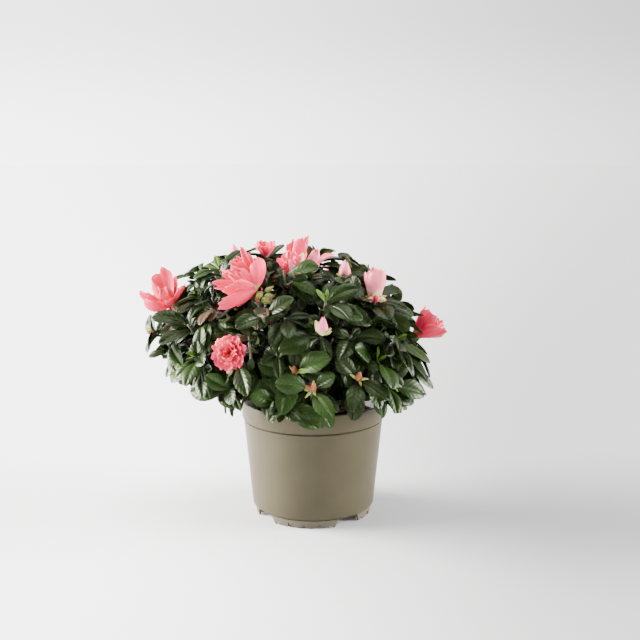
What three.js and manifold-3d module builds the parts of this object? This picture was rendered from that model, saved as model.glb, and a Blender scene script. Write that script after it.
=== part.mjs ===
// A potted azalea shrub in bloom, built together with its plastic pot.
// Millimetres, +Z up. The origin is on the pot's axis, in the plane that the pot stands on.
// -Y is the front, +X is to the right of someone who looks at the front.
import * as THREE from 'three';
import { mergeVertices } from 'three/addons/utils/BufferGeometryUtils.js';
import Module from 'manifold-3d';

const wasm = await Module();
wasm.setup();

// Driving dimensions of the pot
const POT_HEIGHT = 105;
const RIM_RADIUS = 65;
const RIM_BAND = 16.4;
const RIM_STEP = 1.6;
const WALL_TOP_RADIUS = 63.3;
const WALL_FOOT_RADIUS = 55.6;
const WALL_THICKNESS = 1.8;
const BASE_HEIGHT = 8;
const BASE_THICKNESS = 2.2;
const SKIRT_RADIUS = 53.4;
const SKIRT_THICKNESS = 2.2;
const PAD_RADIUS = 15;
const POT_SEAM = 0.5;
const SKIRT_SPLAY = 0.6;
const RIM_OVERHANG = 0.9;
const RIM_LIP = 1.2;
const RIM_ROUNDING = 0.3;
const POT_SEGMENTS = 40;
const FEET = 4;
const FIRST_GAP_FROM_FRONT = 36;
const GAP_TOP_WIDTH = 20.5;
const GAP_FOOT_WIDTH = 28;
const NOTCHES_PER_FOOT = 5;
const NOTCH_SPACING = 13.4;
const FLAT_NOTCH = { width: 5, height: 1.8 };
const TALL_NOTCH = { width: 4, height: 4 };
const NOTCH_TAPER = 0.7;
const GAP_LIP = 0.7;
const CUTTER_DEPTH = 12;
const CUTTER_FOOT = -1;

// Potting soil
const SOIL_TOP = 90;
const SOIL_EDGE_DROP = 2.5;
const SOIL_SEGMENTS = 24;
const SOIL_PLAY = 0.6;
const SOIL_SHOULDER = { share: 0.82, rise: 1 };
const SOIL_CROWN = { share: 0.5, drop: 0.6 };
const SOIL_FLAT_ROUND_STEM = 3;

// Clearance between neighbouring solids
const CLEAR = 0.3;

// Main stem: it leans a little to the left and forwards
const STEM_TIP = new THREE.Vector3(-9, -4, 152);
const STEM_FOOT_RADIUS = 6.6;
const STEM_TIP_RADIUS = 3.4;
const STEM_FLARE = 3.2;
const STEM_FLARE_HEIGHT = 9;
const STEM_SIDES = 10;
const STEM_RINGS = 7;
const STEM_RING_CROWDING = 1.4;
const STEM_LEAN_FIRST = new THREE.Vector2(2, 1);

// Boughs
const BOUGH_ROOT_RADIUS = 2.6;
const BOUGH_TIP_RADIUS = 1.9;
const BOUGH_SIDES = 6;
const BOUGH_RINGS = 5;
const BOUGH_SHARE = 0.62;
const LOW_BOUGH_START = 103;
const HIGH_BOUGH_START = 129;
const BOUGH_STAGGER = 7;
const BOUGH_BEND_AT = 0.45;
const LOW_BOUGH_ARCH = 3;
const HIGH_BOUGH_SAG = 5;

// The crown: shoot tips lie on half an ellipsoid, and leaves reach past them
const CROWN_CENTRE = new THREE.Vector3(-24, 2, 138);
const CROWN_REACH = new THREE.Vector3(114, 92, 98);
const CROWN_LOWEST = -0.2;
const CROWN_HIGHEST = 0.995;
const OUTER_SHOOTS = 64;
const INNER_SHOOTS = 20;
const INNER_SHARE = 0.66;
const SHOOT_SPACING = 25;
const UNDERSIDE_HEIGHT = 96;
const UNDERSIDE_RADIUS = 82;
const UNDERSIDE_RISE = 0.72;
const SHOOT_OVER_UNDERSIDE = 16;
const DRAW_STEPS = 5;
const DRAW_SHARE = 0.1;
const SHOOT_JITTER = 0.09;
const SHOOT_TURN = 0.3;
const UPWARD = 0.55;
const SHOOT_LENGTH = 13;
const CELL_MARGIN = 0.35;
const LIMB_MARGIN = 0.7;
const BLOSSOM_LIMB_MARGIN = 1;
const RIM_MARGIN = 1.2;
const OVER_RIM = 1;
const SEED = 20417;
const GOLDEN_ANGLE = Math.PI * (3 - Math.sqrt(5));

// Twigs
const TWIG_SIDES = 3;
const TWIG_HIDDEN_RADIUS = 0.85;
const TWIG_COLLAR = 4;
const TWIG_ROOT_RADIUS = 1.9;
const TWIG_KNEE_RADIUS = 1.7;
const TWIG_TIP_RADIUS = 1.5;
const TWIG_BUD = 3.5;
const PATH_WEIGHT = 0.55;
const FORK_WEIGHT = 12;
const STEM_BEND_AT = 0.4;
const STEM_JOINTS = [0.25, 0.5, 0.75, 0.97];
const TWIG_JOINTS = [0.4, 0.65, 0.9];

// Leaves
const LEAF_LENGTH = 37;
const LEAF_LENGTH_SPREAD = 8;
const LEAF_WIDTH_SHARE = 0.5;
const LEAF_WIDEST = 0.56;
const LEAF_SINK = 0.6;
const LEAF_EDGE_RISE = 1;
const LEAF_KEEL_DROP = 1.4;
const LEAF_DROOP = 0.14;
const UPPER_LEAVES = 4;
const LOWER_LEAVES = 5;
const UPPER_OPENING = { least: 58, spread: 16 };
const LOWER_OPENING = { least: 80, spread: 18 };
const UPPER_SHORTER = 4;
const LEAF_SPIRAL = 137.5;
const LEAF_TURN_SPREAD = 20;
const FIRST_LEAF_BELOW = { leaves: 0.8, blossom: 3.6 };
const LEAF_TURNS = [0, 20, -20, 40, -40, 60, -60];
const LEAF_SCALES = [1, 0.85, 0.7];
const LEAF_APART = 3.2;
const LEAF_STEP = 1.7;
const FUSE_TOLERANCE = 0.05;

// Masses of foliage: direction round the crown's centre in degrees (0 is +X), distance out and height
const MASSES = [
  ['front_left', -128, 69, 148],
  ['front', -84, 64, 146],
  ['front_right', -38, 76, 148],
  ['right', 6, 84, 150],
  ['back_right', 50, 76, 148],
  ['back', 95, 66, 148],
  ['back_left', 140, 74, 148],
  ['left', -174, 82, 140],
  ['far_left', 186, 96, 190],
  ['upper_front_left', -126, 60, 212],
  ['upper_front_right', -28, 72, 204],
  ['upper_back_right', 46, 64, 206],
  ['upper_back_left', 122, 50, 210],
  ['top', -46, 24, 216],
].map(([name, degrees, out, height]) => {
  const angle = THREE.MathUtils.degToRad(degrees);
  const x = CROWN_CENTRE.x + out * Math.cos(angle);
  const y = CROWN_CENTRE.y + out * Math.sin(angle);
  return { name, low: height < 170, hub: new THREE.Vector3(x, y, height) };
});

// Kinds of blossom: radius at the mouth, height, lobes, how full the middle is, petals' ruffle
const BLOSSOM = {
  cup: { mouth: 19, height: 30, points: 8, heart: 0.45, ruffle: 3 },
  wide: { mouth: 21, height: 36, points: 8, heart: 0.45, ruffle: 4 },
  half: { mouth: 15, height: 31, points: 8, heart: 0.4, ruffle: 3 },
  double: { mouth: 18, height: 22, points: 8, heart: 0.85, ruffle: 3 },
  open: { mouth: 30, height: 20, points: 8, heart: 0.7, ruffle: 4 },
  closed: { mouth: 10, height: 27, points: 6, heart: 1, ruffle: 0 },
  bud: { mouth: 4.5, height: 14, points: 5, heart: 1, ruffle: 0 },
  cone: { mouth: 2.6, height: 8, points: 4, heart: 1, ruffle: 0 },
};

// A blossom that doesn't fit its space is tried at these sizes in turn
const BLOSSOM_SCALES = [1, 0.94, 0.88, 0.8, 0.72, 0.64, 0.56];

// Shoots that are placed one by one: kind, tip, the way it points
const NAMED_SHOOTS = [
  ['cup', [-128, -8, 190], [-0.4, -0.25, 0.88]],
  ['wide', [-47, -44, 204], [-0.5, -0.3, 0.8]],
  ['half', [-16, -20, 222], [-0.35, -0.1, 0.93]],
  ['half', [-4, -12, 225], [0.25, -0.2, 0.95]],
  ['double', [-67, -66, 160], [-0.25, -0.92, 0.3]],
  ['bud', [-43, 24, 231], [-0.1, -0.1, 0.99]],
  ['closed', [53, -42, 202], [0.05, -0.2, 0.98]],
  ['bud', [8, -76, 178], [0.1, -0.75, 0.65]],
  ['bud', [27, -26, 219], [0.1, -0.2, 0.97]],
  ['cone', [0, -88, 134], [0.05, -0.9, 0.4]],
  ['cone', [-14, -78, 146], [-0.1, -0.85, 0.5]],
  ['cone', [38, -80, 141], [0.2, -0.85, 0.5]],
  ['cone', [-140, -14, 166], [-0.85, -0.25, 0.35]],
];

// Blossom on the other shoots, in the order of the spiral from the lowest shoot up
const SPIRAL_BLOSSOM = {
  16: 'open',
  19: 'open',
  21: 'half',
  22: 'cup',
  27: 'bud',
  40: 'double',
  43: 'bud',
  45: 'cup',
  48: 'open',
  56: 'bud',
};

// Colours and finishes
function finish(name, color, roughness) {
  return new THREE.MeshStandardMaterial({ name, color, roughness, metalness: 0 });
}
const POT_PLASTIC = finish('pot_plastic', 0xa39588, 0.45);
const SOIL = finish('potting_soil', 0x3a2018, 0.95);
const BARK = finish('bark', 0x6b4e38, 0.85);
const FOLIAGE = finish('foliage', 0x3c6b1c, 0.42);

// Seeded random numbers from 0 to 1
function randomFrom(seed) {
  let state = seed >>> 0;
  return () => {
    state = (state + 0x6d2b79f5) >>> 0;
    let mixed = Math.imul(state ^ (state >>> 15), state | 1);
    mixed ^= mixed + Math.imul(mixed ^ (mixed >>> 7), mixed | 61);
    return ((mixed ^ (mixed >>> 14)) >>> 0) / 4294967296;
  };
}

const up = new THREE.Vector3(0, 0, 1);

function along(from, direction, distance) {
  return from.clone().addScaledVector(direction, distance);
}

// Two directions at right angles to the given one and to each other
function crossAxes(direction) {
  const helper = Math.abs(direction.z) > 0.9 ? new THREE.Vector3(1, 0, 0) : up;
  const first = new THREE.Vector3().crossVectors(helper, direction).normalize();
  const second = new THREE.Vector3().crossVectors(direction, first).normalize();
  return [first, second];
}

// Solids from geometry and back
function solidFrom(positions, triangles) {
  const mesh = new wasm.Mesh({
    numProp: 3,
    vertProperties: new Float32Array(positions),
    triVerts: new Uint32Array(triangles),
  });
  return new wasm.Manifold(mesh);
}

function solidFromGeometry(geometry) {
  const bare = geometry.clone();
  bare.deleteAttribute('normal');
  bare.deleteAttribute('uv');
  const merged = mergeVertices(bare, 1e-4);
  const index = merged.index.array;
  const triangles = [];
  for (let i = 0; i < index.length; i += 3) {
    const [a, b, c] = index.slice(i, i + 3);
    if (a !== b && b !== c && c !== a) triangles.push(a, b, c);
  }
  return solidFrom(merged.attributes.position.array, triangles);
}

function signedVolume(positions, triangles) {
  const corner = (i) => new THREE.Vector3().fromArray(positions, 3 * triangles[i]);
  let total = 0;
  for (let i = 0; i < triangles.length; i += 3) {
    total += corner(i).dot(corner(i + 1).cross(corner(i + 2))) / 6;
  }
  return total;
}

// The outer skin of the largest body: loose scraps and sealed hollows are left out
function largestBody(solid) {
  const { vertProperties, triVerts } = solid.getMesh();
  const parent = Array.from({ length: vertProperties.length / 3 }, (_, i) => i);
  const find = (i) => {
    let top = i;
    while (parent[top] !== top) top = parent[top];
    parent[i] = top;
    return top;
  };
  for (let i = 0; i < triVerts.length; i += 3) {
    parent[find(triVerts[i])] = find(triVerts[i + 1]);
    parent[find(triVerts[i + 1])] = find(triVerts[i + 2]);
  }
  const skins = new Map();
  for (let i = 0; i < triVerts.length; i += 3) {
    const key = find(triVerts[i]);
    if (!skins.has(key)) skins.set(key, []);
    skins.get(key).push(triVerts[i], triVerts[i + 1], triVerts[i + 2]);
  }
  const sizes = [...skins.values()].map((triangles) => {
    return { triangles, volume: signedVolume(vertProperties, triangles) };
  });
  sizes.sort((a, b) => b.volume - a.volume);
  return solidFrom(vertProperties, sizes[0].triangles);
}

function meshFrom(name, solid, material) {
  const result = solid.getMesh();
  const geometry = new THREE.BufferGeometry();
  const positions = new Float32Array(result.vertProperties);
  geometry.setAttribute('position', new THREE.BufferAttribute(positions, 3));
  geometry.setIndex(new THREE.BufferAttribute(new Uint32Array(result.triVerts), 1));
  geometry.computeVertexNormals();
  const mesh = new THREE.Mesh(geometry, material);
  mesh.name = name;
  return mesh;
}

// A closed skin over rings of points; a ring of one point is an apex
function loft(rings) {
  const positions = [];
  const triangles = [];
  const starts = rings.map((ring) => {
    const start = positions.length / 3;
    ring.forEach((p) => positions.push(p.x, p.y, p.z));
    return start;
  });
  const cap = (start, count, flip) => {
    for (let i = 1; i < count - 1; i += 1) {
      const pair = flip ? [i + 1, i] : [i, i + 1];
      triangles.push(start, start + pair[0], start + pair[1]);
    }
  };
  cap(starts[0], rings[0].length, true);
  for (let k = 0; k < rings.length - 1; k += 1) {
    const count = Math.max(rings[k].length, rings[k + 1].length);
    for (let i = 0; i < count; i += 1) {
      const j = (i + 1) % count;
      const lower = (n) => starts[k] + (rings[k].length > 1 ? n : 0);
      const upper = (n) => starts[k + 1] + (rings[k + 1].length > 1 ? n : 0);
      if (rings[k].length > 1) triangles.push(lower(i), lower(j), upper(j));
      if (rings[k + 1].length > 1) triangles.push(lower(i), upper(j), upper(i));
    }
  }
  cap(starts[rings.length - 1], rings[rings.length - 1].length, false);
  return solidFrom(positions, triangles);
}

function ringAround(centre, direction, radius, sides, turn = 0) {
  const [first, second] = crossAxes(direction);
  return Array.from({ length: sides }, (_, i) => {
    const angle = (2 * Math.PI * i) / sides + turn;
    return centre
      .clone()
      .addScaledVector(first, radius * Math.cos(angle))
      .addScaledVector(second, radius * Math.sin(angle));
  });
}

// A round limb through the points of a path, with one radius for each point
function limbSolid(path, radii, sides, extra = 0) {
  const rings = path.map((point, i) => {
    const before = path[Math.max(i - 1, 0)];
    const after = path[Math.min(i + 1, path.length - 1)];
    const direction = after.clone().sub(before).normalize();
    return ringAround(point, direction, radii[i] + extra, sides);
  });
  return loft(rings);
}

// Pot
function potBody() {
  const top = POT_HEIGHT;
  const band = top - RIM_BAND;
  const floorTop = BASE_HEIGHT + BASE_THICKNESS;
  const innerFoot = WALL_FOOT_RADIUS - WALL_THICKNESS;
  const innerTop = WALL_TOP_RADIUS - WALL_THICKNESS;
  const profile = [
    [0, 0],
    [PAD_RADIUS, 0],
    [PAD_RADIUS, BASE_HEIGHT],
    [SKIRT_RADIUS - SKIRT_THICKNESS, BASE_HEIGHT],
    [SKIRT_RADIUS - SKIRT_THICKNESS, 0],
    [SKIRT_RADIUS - SKIRT_SPLAY, 0],
    [SKIRT_RADIUS + SKIRT_SPLAY, BASE_HEIGHT - POT_SEAM],
    [WALL_FOOT_RADIUS, BASE_HEIGHT + POT_SEAM],
    [WALL_TOP_RADIUS, band - POT_SEAM],
    [WALL_TOP_RADIUS + RIM_OVERHANG, band],
    [RIM_RADIUS - RIM_ROUNDING, band + RIM_STEP],
    [RIM_RADIUS, top - RIM_STEP],
    [RIM_RADIUS - RIM_LIP / 2, top - RIM_ROUNDING],
    [RIM_RADIUS - RIM_LIP, top],
    [RIM_RADIUS - 2 * RIM_LIP, top - RIM_ROUNDING],
    [innerTop, band - RIM_STEP],
    [innerFoot, floorTop],
    [0, floorTop],
  ];
  const points = profile.map(([radius, height]) => new THREE.Vector2(radius, height));
  const lathe = new THREE.LatheGeometry(points, POT_SEGMENTS);
  lathe.rotateX(Math.PI / 2);
  return solidFromGeometry(lathe);
}

// A cutter through the skirt, at an angle from the front (anticlockwise from above)
function skirtCutter(outline, degreesFromFront) {
  const shape = new THREE.Shape(outline.map(([x, z]) => new THREE.Vector2(x, z)));
  const depth = CUTTER_DEPTH;
  const cutter = new THREE.ExtrudeGeometry(shape, { depth, bevelEnabled: false });
  cutter.rotateX(Math.PI / 2);
  cutter.translate(0, -(SKIRT_RADIUS - depth / 2), 0);
  cutter.rotateZ(THREE.MathUtils.degToRad(degreesFromFront));
  return solidFromGeometry(cutter);
}

function skirtCutters() {
  const cutters = [];
  const sector = 360 / FEET;
  const gapTop = GAP_TOP_WIDTH / 2;
  const gapFoot = GAP_FOOT_WIDTH / 2;
  const foot = CUTTER_FOOT;
  const height = BASE_HEIGHT - GAP_LIP;
  const gap = [[-gapFoot, foot], [gapFoot, foot], [gapTop, height], [-gapTop, height]];
  for (let gapOrder = 0; gapOrder < FEET; gapOrder += 1) {
    const gapAngle = FIRST_GAP_FROM_FRONT + gapOrder * sector;
    cutters.push(skirtCutter(gap, gapAngle));
    for (let i = 0; i < NOTCHES_PER_FOOT; i += 1) {
      const kind = i % 2 ? TALL_NOTCH : FLAT_NOTCH;
      const half = kind.width / 2;
      const top = half * NOTCH_TAPER;
      const notch = [[-half, foot], [half, foot], [top, kind.height], [-top, kind.height]];
      const fromFootMiddle = (i - (NOTCHES_PER_FOOT - 1) / 2) * NOTCH_SPACING;
      cutters.push(skirtCutter(notch, gapAngle - sector / 2 + fromFootMiddle));
    }
  }
  return cutters;
}

function pot() {
  const cut = wasm.Manifold.union(skirtCutters());
  return potBody().subtract(cut);
}

function soil() {
  const foot = BASE_HEIGHT + BASE_THICKNESS + CLEAR;
  const footRadius = WALL_FOOT_RADIUS - WALL_THICKNESS - SOIL_PLAY;
  const edge = SOIL_TOP - SOIL_EDGE_DROP;
  const rise = (edge - foot) / (POT_HEIGHT - RIM_BAND - foot);
  const edgeRadius = footRadius + (WALL_TOP_RADIUS - WALL_FOOT_RADIUS) * rise;
  const profile = [
    [0, foot],
    [footRadius, foot],
    [edgeRadius, edge],
    [edgeRadius * SOIL_SHOULDER.share, edge + SOIL_SHOULDER.rise],
    [edgeRadius * SOIL_CROWN.share, SOIL_TOP - SOIL_CROWN.drop],
    [STEM_FOOT_RADIUS + STEM_FLARE + SOIL_FLAT_ROUND_STEM, SOIL_TOP],
    [0, SOIL_TOP],
  ];
  const points = profile.map(([radius, height]) => new THREE.Vector2(radius, height));
  const lathe = new THREE.LatheGeometry(points, SOIL_SEGMENTS);
  lathe.rotateX(Math.PI / 2);
  return solidFromGeometry(lathe);
}

// Main stem: a path from its foot on the soil to its tip
const STEM_FOOT = new THREE.Vector3(0, 0, SOIL_TOP + CLEAR);
const stemCurve = new THREE.QuadraticBezierCurve3(
  STEM_FOOT,
  new THREE.Vector3(STEM_LEAN_FIRST.x, STEM_LEAN_FIRST.y, (STEM_FOOT.z + STEM_TIP.z) / 2),
  STEM_TIP,
);

function stemRadius(share) {
  const height = share * (STEM_TIP.z - STEM_FOOT.z);
  const flare = STEM_FLARE * Math.max(0, 1 - height / STEM_FLARE_HEIGHT) ** 2;
  return THREE.MathUtils.lerp(STEM_FOOT_RADIUS, STEM_TIP_RADIUS, share) + flare;
}

function stemShares() {
  const last = STEM_RINGS - 1;
  return Array.from({ length: STEM_RINGS }, (_, i) => (i / last) ** STEM_RING_CROWDING);
}

function stemSolid(extra = 0) {
  const shares = stemShares();
  const rings = shares.map((share, i) => {
    const direction = i ? stemCurve.getTangent(share) : up;
    return ringAround(stemCurve.getPoint(share), direction, stemRadius(share) + extra, STEM_SIDES);
  });
  return loft(rings);
}

// Boughs: one for each mass but the top one, which sits on the stem's own tip
function boughPath(mass, order) {
  const stagger = (order % 2) * BOUGH_STAGGER;
  const height = (mass.low ? LOW_BOUGH_START : HIGH_BOUGH_START) + stagger;
  const share = (height - STEM_FOOT.z) / (STEM_TIP.z - STEM_FOOT.z);
  const start = stemCurve.getPoint(share);
  const end = start.clone().lerp(mass.hub, BOUGH_SHARE);
  const bend = start.clone().lerp(end, BOUGH_BEND_AT);
  bend.z += mass.low ? LOW_BOUGH_ARCH : -HIGH_BOUGH_SAG;
  const curve = new THREE.QuadraticBezierCurve3(start, bend, end);
  return curve.getPoints(BOUGH_RINGS - 1);
}

const boughs = MASSES.filter((mass) => mass.name !== 'top').map((mass, order) => {
  const path = boughPath(mass, order);
  const radii = path.map((_, i) => {
    return THREE.MathUtils.lerp(BOUGH_ROOT_RADIUS, BOUGH_TIP_RADIUS, i / (path.length - 1));
  });
  return { mass, path, radii };
});

// A bough starts clear of the stem and of the boughs made before it
function boughSolids() {
  const stem = stemSolid(CLEAR);
  const done = [];
  return boughs.map(({ mass, path, radii }) => {
    const whole = limbSolid(path, radii, BOUGH_SIDES);
    const solid = largestBody(wasm.Manifold.difference([whole, stem, ...done]));
    done.push(limbSolid(path, radii, BOUGH_SIDES, CLEAR));
    return { name: `bough_${mass.name}`, solid };
  });
}

// Segments of every limb, as capsules that leaves and twigs keep clear of
function capsules(path, radii) {
  return path.slice(1).map((point, i) => {
    return { a: path[i], b: point, radius: Math.max(radii[i], radii[i + 1]) };
  });
}

const stemPath = stemShares().map((share) => stemCurve.getPoint(share));
const limbCapsules = [
  ...capsules(stemPath, stemShares().map(stemRadius)),
  ...boughs.flatMap(({ path, radii }) => capsules(path, radii)),
];

function distanceToCapsule(point, { a, b, radius }) {
  const line = new THREE.Line3(a, b);
  const nearest = line.closestPointToPoint(point, true, new THREE.Vector3());
  return nearest.distanceTo(point) - radius;
}

function clearOfLimbs(points, margin) {
  return points.every((p) => limbCapsules.every((limb) => distanceToCapsule(p, limb) > margin));
}

// Each mass keeps to the space that is nearer to its own hub than to any other
function insideCell(points, mass) {
  return MASSES.every((other) => {
    if (other === mass) return true;
    const normal = other.hub.clone().sub(mass.hub).normalize();
    const middle = other.hub.clone().lerp(mass.hub, 0.5);
    return points.every((p) => p.clone().sub(middle).dot(normal) < -CELL_MARGIN);
  });
}

// The crown's underside is lowest just outside the pot and rises outwards
function underside(point) {
  const beyond = Math.max(0, Math.hypot(point.x, point.y) - UNDERSIDE_RADIUS);
  return UNDERSIDE_HEIGHT + UNDERSIDE_RISE * beyond;
}

// Foliage stays over the pot's rim or outside it, and over the crown's underside
function clearOfPot(points) {
  return points.every((p) => {
    const outside = Math.hypot(p.x, p.y) > RIM_RADIUS + RIM_MARGIN;
    return p.z > (outside ? underside(p) : POT_HEIGHT + OVER_RIM);
  });
}

function samples(from, to, count) {
  return Array.from({ length: count + 1 }, (_, i) => from.clone().lerp(to, i / count));
}

// Shoots
function crownNormal(point) {
  const offset = point.clone().sub(CROWN_CENTRE);
  return offset.divide(CROWN_REACH).divide(CROWN_REACH).normalize();
}

function spiralShoots(count, share, random) {
  return Array.from({ length: count }, (_, i) => {
    const sine = CROWN_LOWEST + ((CROWN_HIGHEST - CROWN_LOWEST) * (i + 0.5)) / count;
    const cosine = Math.sqrt(1 - sine * sine);
    const angle = i * GOLDEN_ANGLE + (random() - 0.5) * SHOOT_TURN;
    const reach = share * (1 + (random() - 0.5) * 2 * SHOOT_JITTER);
    const tip = new THREE.Vector3(cosine * Math.cos(angle), cosine * Math.sin(angle), sine);
    tip.multiply(CROWN_REACH).multiplyScalar(reach).add(CROWN_CENTRE);
    tip.z = Math.max(tip.z, underside(tip) + SHOOT_OVER_UNDERSIDE);
    const way = crownNormal(tip).addScaledVector(up, UPWARD);
    way.x += (random() - 0.5) * SHOOT_TURN;
    way.y += (random() - 0.5) * SHOOT_TURN;
    return { tip, way: way.normalize(), order: i };
  });
}

function allShoots() {
  const random = randomFrom(SEED);
  const named = NAMED_SHOOTS.map(([kind, tip, way]) => {
    return { kind, tip: new THREE.Vector3(...tip), way: new THREE.Vector3(...way).normalize() };
  });
  const outer = spiralShoots(OUTER_SHOOTS, 1, random);
  const inner = spiralShoots(INNER_SHOOTS, INNER_SHARE, random);
  outer.forEach((shoot) => {
    shoot.kind = SPIRAL_BLOSSOM[shoot.order] ?? 'leaves';
  });
  inner.forEach((shoot) => {
    shoot.kind = 'leaves';
  });
  const free = [...outer, ...inner].filter((shoot) => {
    return named.every((other) => other.tip.distanceTo(shoot.tip) > SHOOT_SPACING);
  });
  return [...named, ...free];
}

function nearestMass(point) {
  return MASSES.reduce((best, mass) => {
    return mass.hub.distanceTo(point) < best.hub.distanceTo(point) ? mass : best;
  });
}

function kneeOf(shoot) {
  return along(shoot.tip, shoot.way, -SHOOT_LENGTH);
}

// The shoots of one mass; those that stand across its walls draw back towards its hub
function shootsOf(mass, shoots) {
  const own = shoots.filter((shoot) => nearestMass(shoot.tip) === mass);
  return own.map((shoot) => {
    const drawn = { ...shoot, tip: shoot.tip.clone() };
    for (let i = 0; i < DRAW_STEPS && shoot.order !== undefined; i += 1) {
      if (insideCell([drawn.tip, kneeOf(drawn)], mass)) break;
      drawn.tip.lerp(mass.hub, DRAW_SHARE);
    }
    return drawn;
  });
}

// Twigs: each shoot joins the twig that is nearest to it, counted from the mass's stem
function stemOfMass(mass) {
  const bough = boughs.find((each) => each.mass === mass);
  const path = bough ? bough.path : stemPath;
  const last = path[path.length - 1];
  const direction = last.clone().sub(path[path.length - 2]).normalize();
  const radius = bough ? BOUGH_TIP_RADIUS : STEM_TIP_RADIUS;
  return { start: along(last, direction, CLEAR), direction, radius };
}

function growTwigs(mass, shoots) {
  const { start, direction, radius } = stemOfMass(mass);
  const middle = along(start, direction, STEM_BEND_AT * start.distanceTo(mass.hub));
  const stemPoints = [start, middle, mass.hub];
  const stem = limbSolid(stemPoints, [radius, TWIG_ROOT_RADIUS, TWIG_TIP_RADIUS], 4);
  const joints = [];
  const offerJoints = (from, to, path, shares) => {
    shares.forEach((share) => {
      const point = from.clone().lerp(to, share);
      joints.push({ point, path: path + from.distanceTo(point), forks: 0 });
    });
  };
  offerJoints(middle, mass.hub, 0, STEM_JOINTS);
  const twigs = [];
  const ordered = [...shoots].sort((a, b) => {
    return a.tip.distanceTo(mass.hub) - b.tip.distanceTo(mass.hub);
  });
  ordered.forEach((shoot) => {
    const knee = kneeOf(shoot);
    const cost = ({ point, path, forks }) => {
      return point.distanceTo(knee) + PATH_WEIGHT * path + FORK_WEIGHT * forks;
    };
    const choices = [...joints].sort((a, b) => cost(a) - cost(b));
    const joint = choices.find(({ point }) => {
      const line = [...samples(point, knee, 12), ...samples(knee, shoot.tip, 3)];
      const free = clearOfLimbs(line, TWIG_ROOT_RADIUS + LIMB_MARGIN) && clearOfPot(line);
      return free && insideCell(samples(knee, shoot.tip, 1), mass);
    });
    if (!joint) return;
    joint.forks += 1;
    twigs.push({ shoot, path: [joint.point, knee, shoot.tip] });
    offerJoints(joint.point, knee, joint.path, TWIG_JOINTS);
  });
  return { stem, twigs };
}

function twigSolid([from, knee, tip]) {
  const way = tip.clone().sub(knee).normalize();
  const rootWay = knee.clone().sub(from).normalize();
  const kneeWay = rootWay.clone().add(way).normalize();
  return loft([
    ringAround(from, rootWay, TWIG_HIDDEN_RADIUS, TWIG_SIDES),
    ringAround(along(from, rootWay, TWIG_COLLAR), rootWay, TWIG_ROOT_RADIUS, TWIG_SIDES),
    ringAround(knee, kneeWay, TWIG_KNEE_RADIUS, TWIG_SIDES),
    ringAround(tip, way, TWIG_TIP_RADIUS, TWIG_SIDES),
    [along(tip, way, TWIG_BUD)],
  ]);
}

// A leaf: its stalk end sunk past the twig's middle, two edges, a keel under them, and a tip
function leafPoints(root, way, normal, length) {
  const side = new THREE.Vector3().crossVectors(normal, way).normalize();
  const place = (forward, across, rise) => {
    const point = along(root, way, forward);
    return point.addScaledVector(side, across).addScaledVector(normal, rise);
  };
  const halfWidth = (length * LEAF_WIDTH_SHARE) / 2;
  const widest = length * LEAF_WIDEST;
  const tip = place(length, 0, 0);
  tip.z -= LEAF_DROOP * length;
  return {
    stalk: place(-LEAF_SINK, 0, 0),
    left: place(widest, halfWidth, LEAF_EDGE_RISE),
    right: place(widest, -halfWidth, LEAF_EDGE_RISE),
    keel: place(widest, 0, -LEAF_KEEL_DROP),
    tip,
  };
}

function leafSolid({ stalk, left, right, keel, tip }) {
  return loft([[stalk], [left, right, keel], [tip]]);
}

function leafSamples({ stalk, left, right, keel, tip }) {
  const across = [left, left.clone().lerp(keel, 0.5), keel, keel.clone().lerp(right, 0.5), right];
  return across.flatMap((widest) => {
    return [...samples(stalk, widest, 4).slice(2), ...samples(widest, tip, 3).slice(1)];
  });
}

function leafFits(points, mass, placed) {
  if (!insideCell(points, mass)) return false;
  if (!clearOfPot(points) || !clearOfLimbs(points, LIMB_MARGIN)) return false;
  return points.every((p) => placed.every((other) => p.distanceTo(other) > LEAF_APART));
}

// One leaf of a whorl: it turns or shortens to stay in its space, or is left out
function whorlLeaf(shoot, mass, placed, { degrees, below, opening, length }) {
  const [first, second] = crossAxes(shoot.way);
  const root = along(shoot.tip, shoot.way, -below);
  for (const scale of LEAF_SCALES) {
    for (const turn of LEAF_TURNS) {
      const angle = THREE.MathUtils.degToRad(degrees + turn);
      const out = first.clone().multiplyScalar(Math.cos(angle));
      out.addScaledVector(second, Math.sin(angle));
      const way = out.clone().multiplyScalar(Math.sin(opening));
      way.addScaledVector(shoot.way, Math.cos(opening));
      const normal = shoot.way.clone().multiplyScalar(Math.sin(opening));
      normal.addScaledVector(out, -Math.cos(opening));
      const leaf = leafPoints(root, way, normal, length * scale);
      const line = leafSamples(leaf);
      if (leafFits(line, mass, placed)) {
        placed.push(...line);
        return leafSolid(leaf);
      }
    }
  }
  return null;
}

function whorl(shoot, mass, placed, random) {
  const leaves = [];
  const leafy = shoot.kind === 'cone' || shoot.kind === 'leaves';
  const upper = leafy ? UPPER_LEAVES : 1;
  const count = upper + LOWER_LEAVES;
  const firstBelow = leafy ? FIRST_LEAF_BELOW.leaves : FIRST_LEAF_BELOW.blossom;
  const firstTurn = random() * 360;
  for (let i = 0; i < count; i += 1) {
    const isUpper = i < upper;
    const { least, spread } = isUpper ? UPPER_OPENING : LOWER_OPENING;
    const opening = THREE.MathUtils.degToRad(least + spread * random());
    const shorter = isUpper ? UPPER_SHORTER : 0;
    const longer = (random() - 0.5) * LEAF_LENGTH_SPREAD;
    const turn = (random() - 0.5) * LEAF_TURN_SPREAD;
    const leaf = whorlLeaf(shoot, mass, placed, {
      degrees: firstTurn + i * LEAF_SPIRAL + turn,
      below: firstBelow + LEAF_STEP * i,
      opening,
      length: LEAF_LENGTH + longer - shorter,
    });
    if (leaf) leaves.push(leaf);
  }
  return leaves;
}

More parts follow.
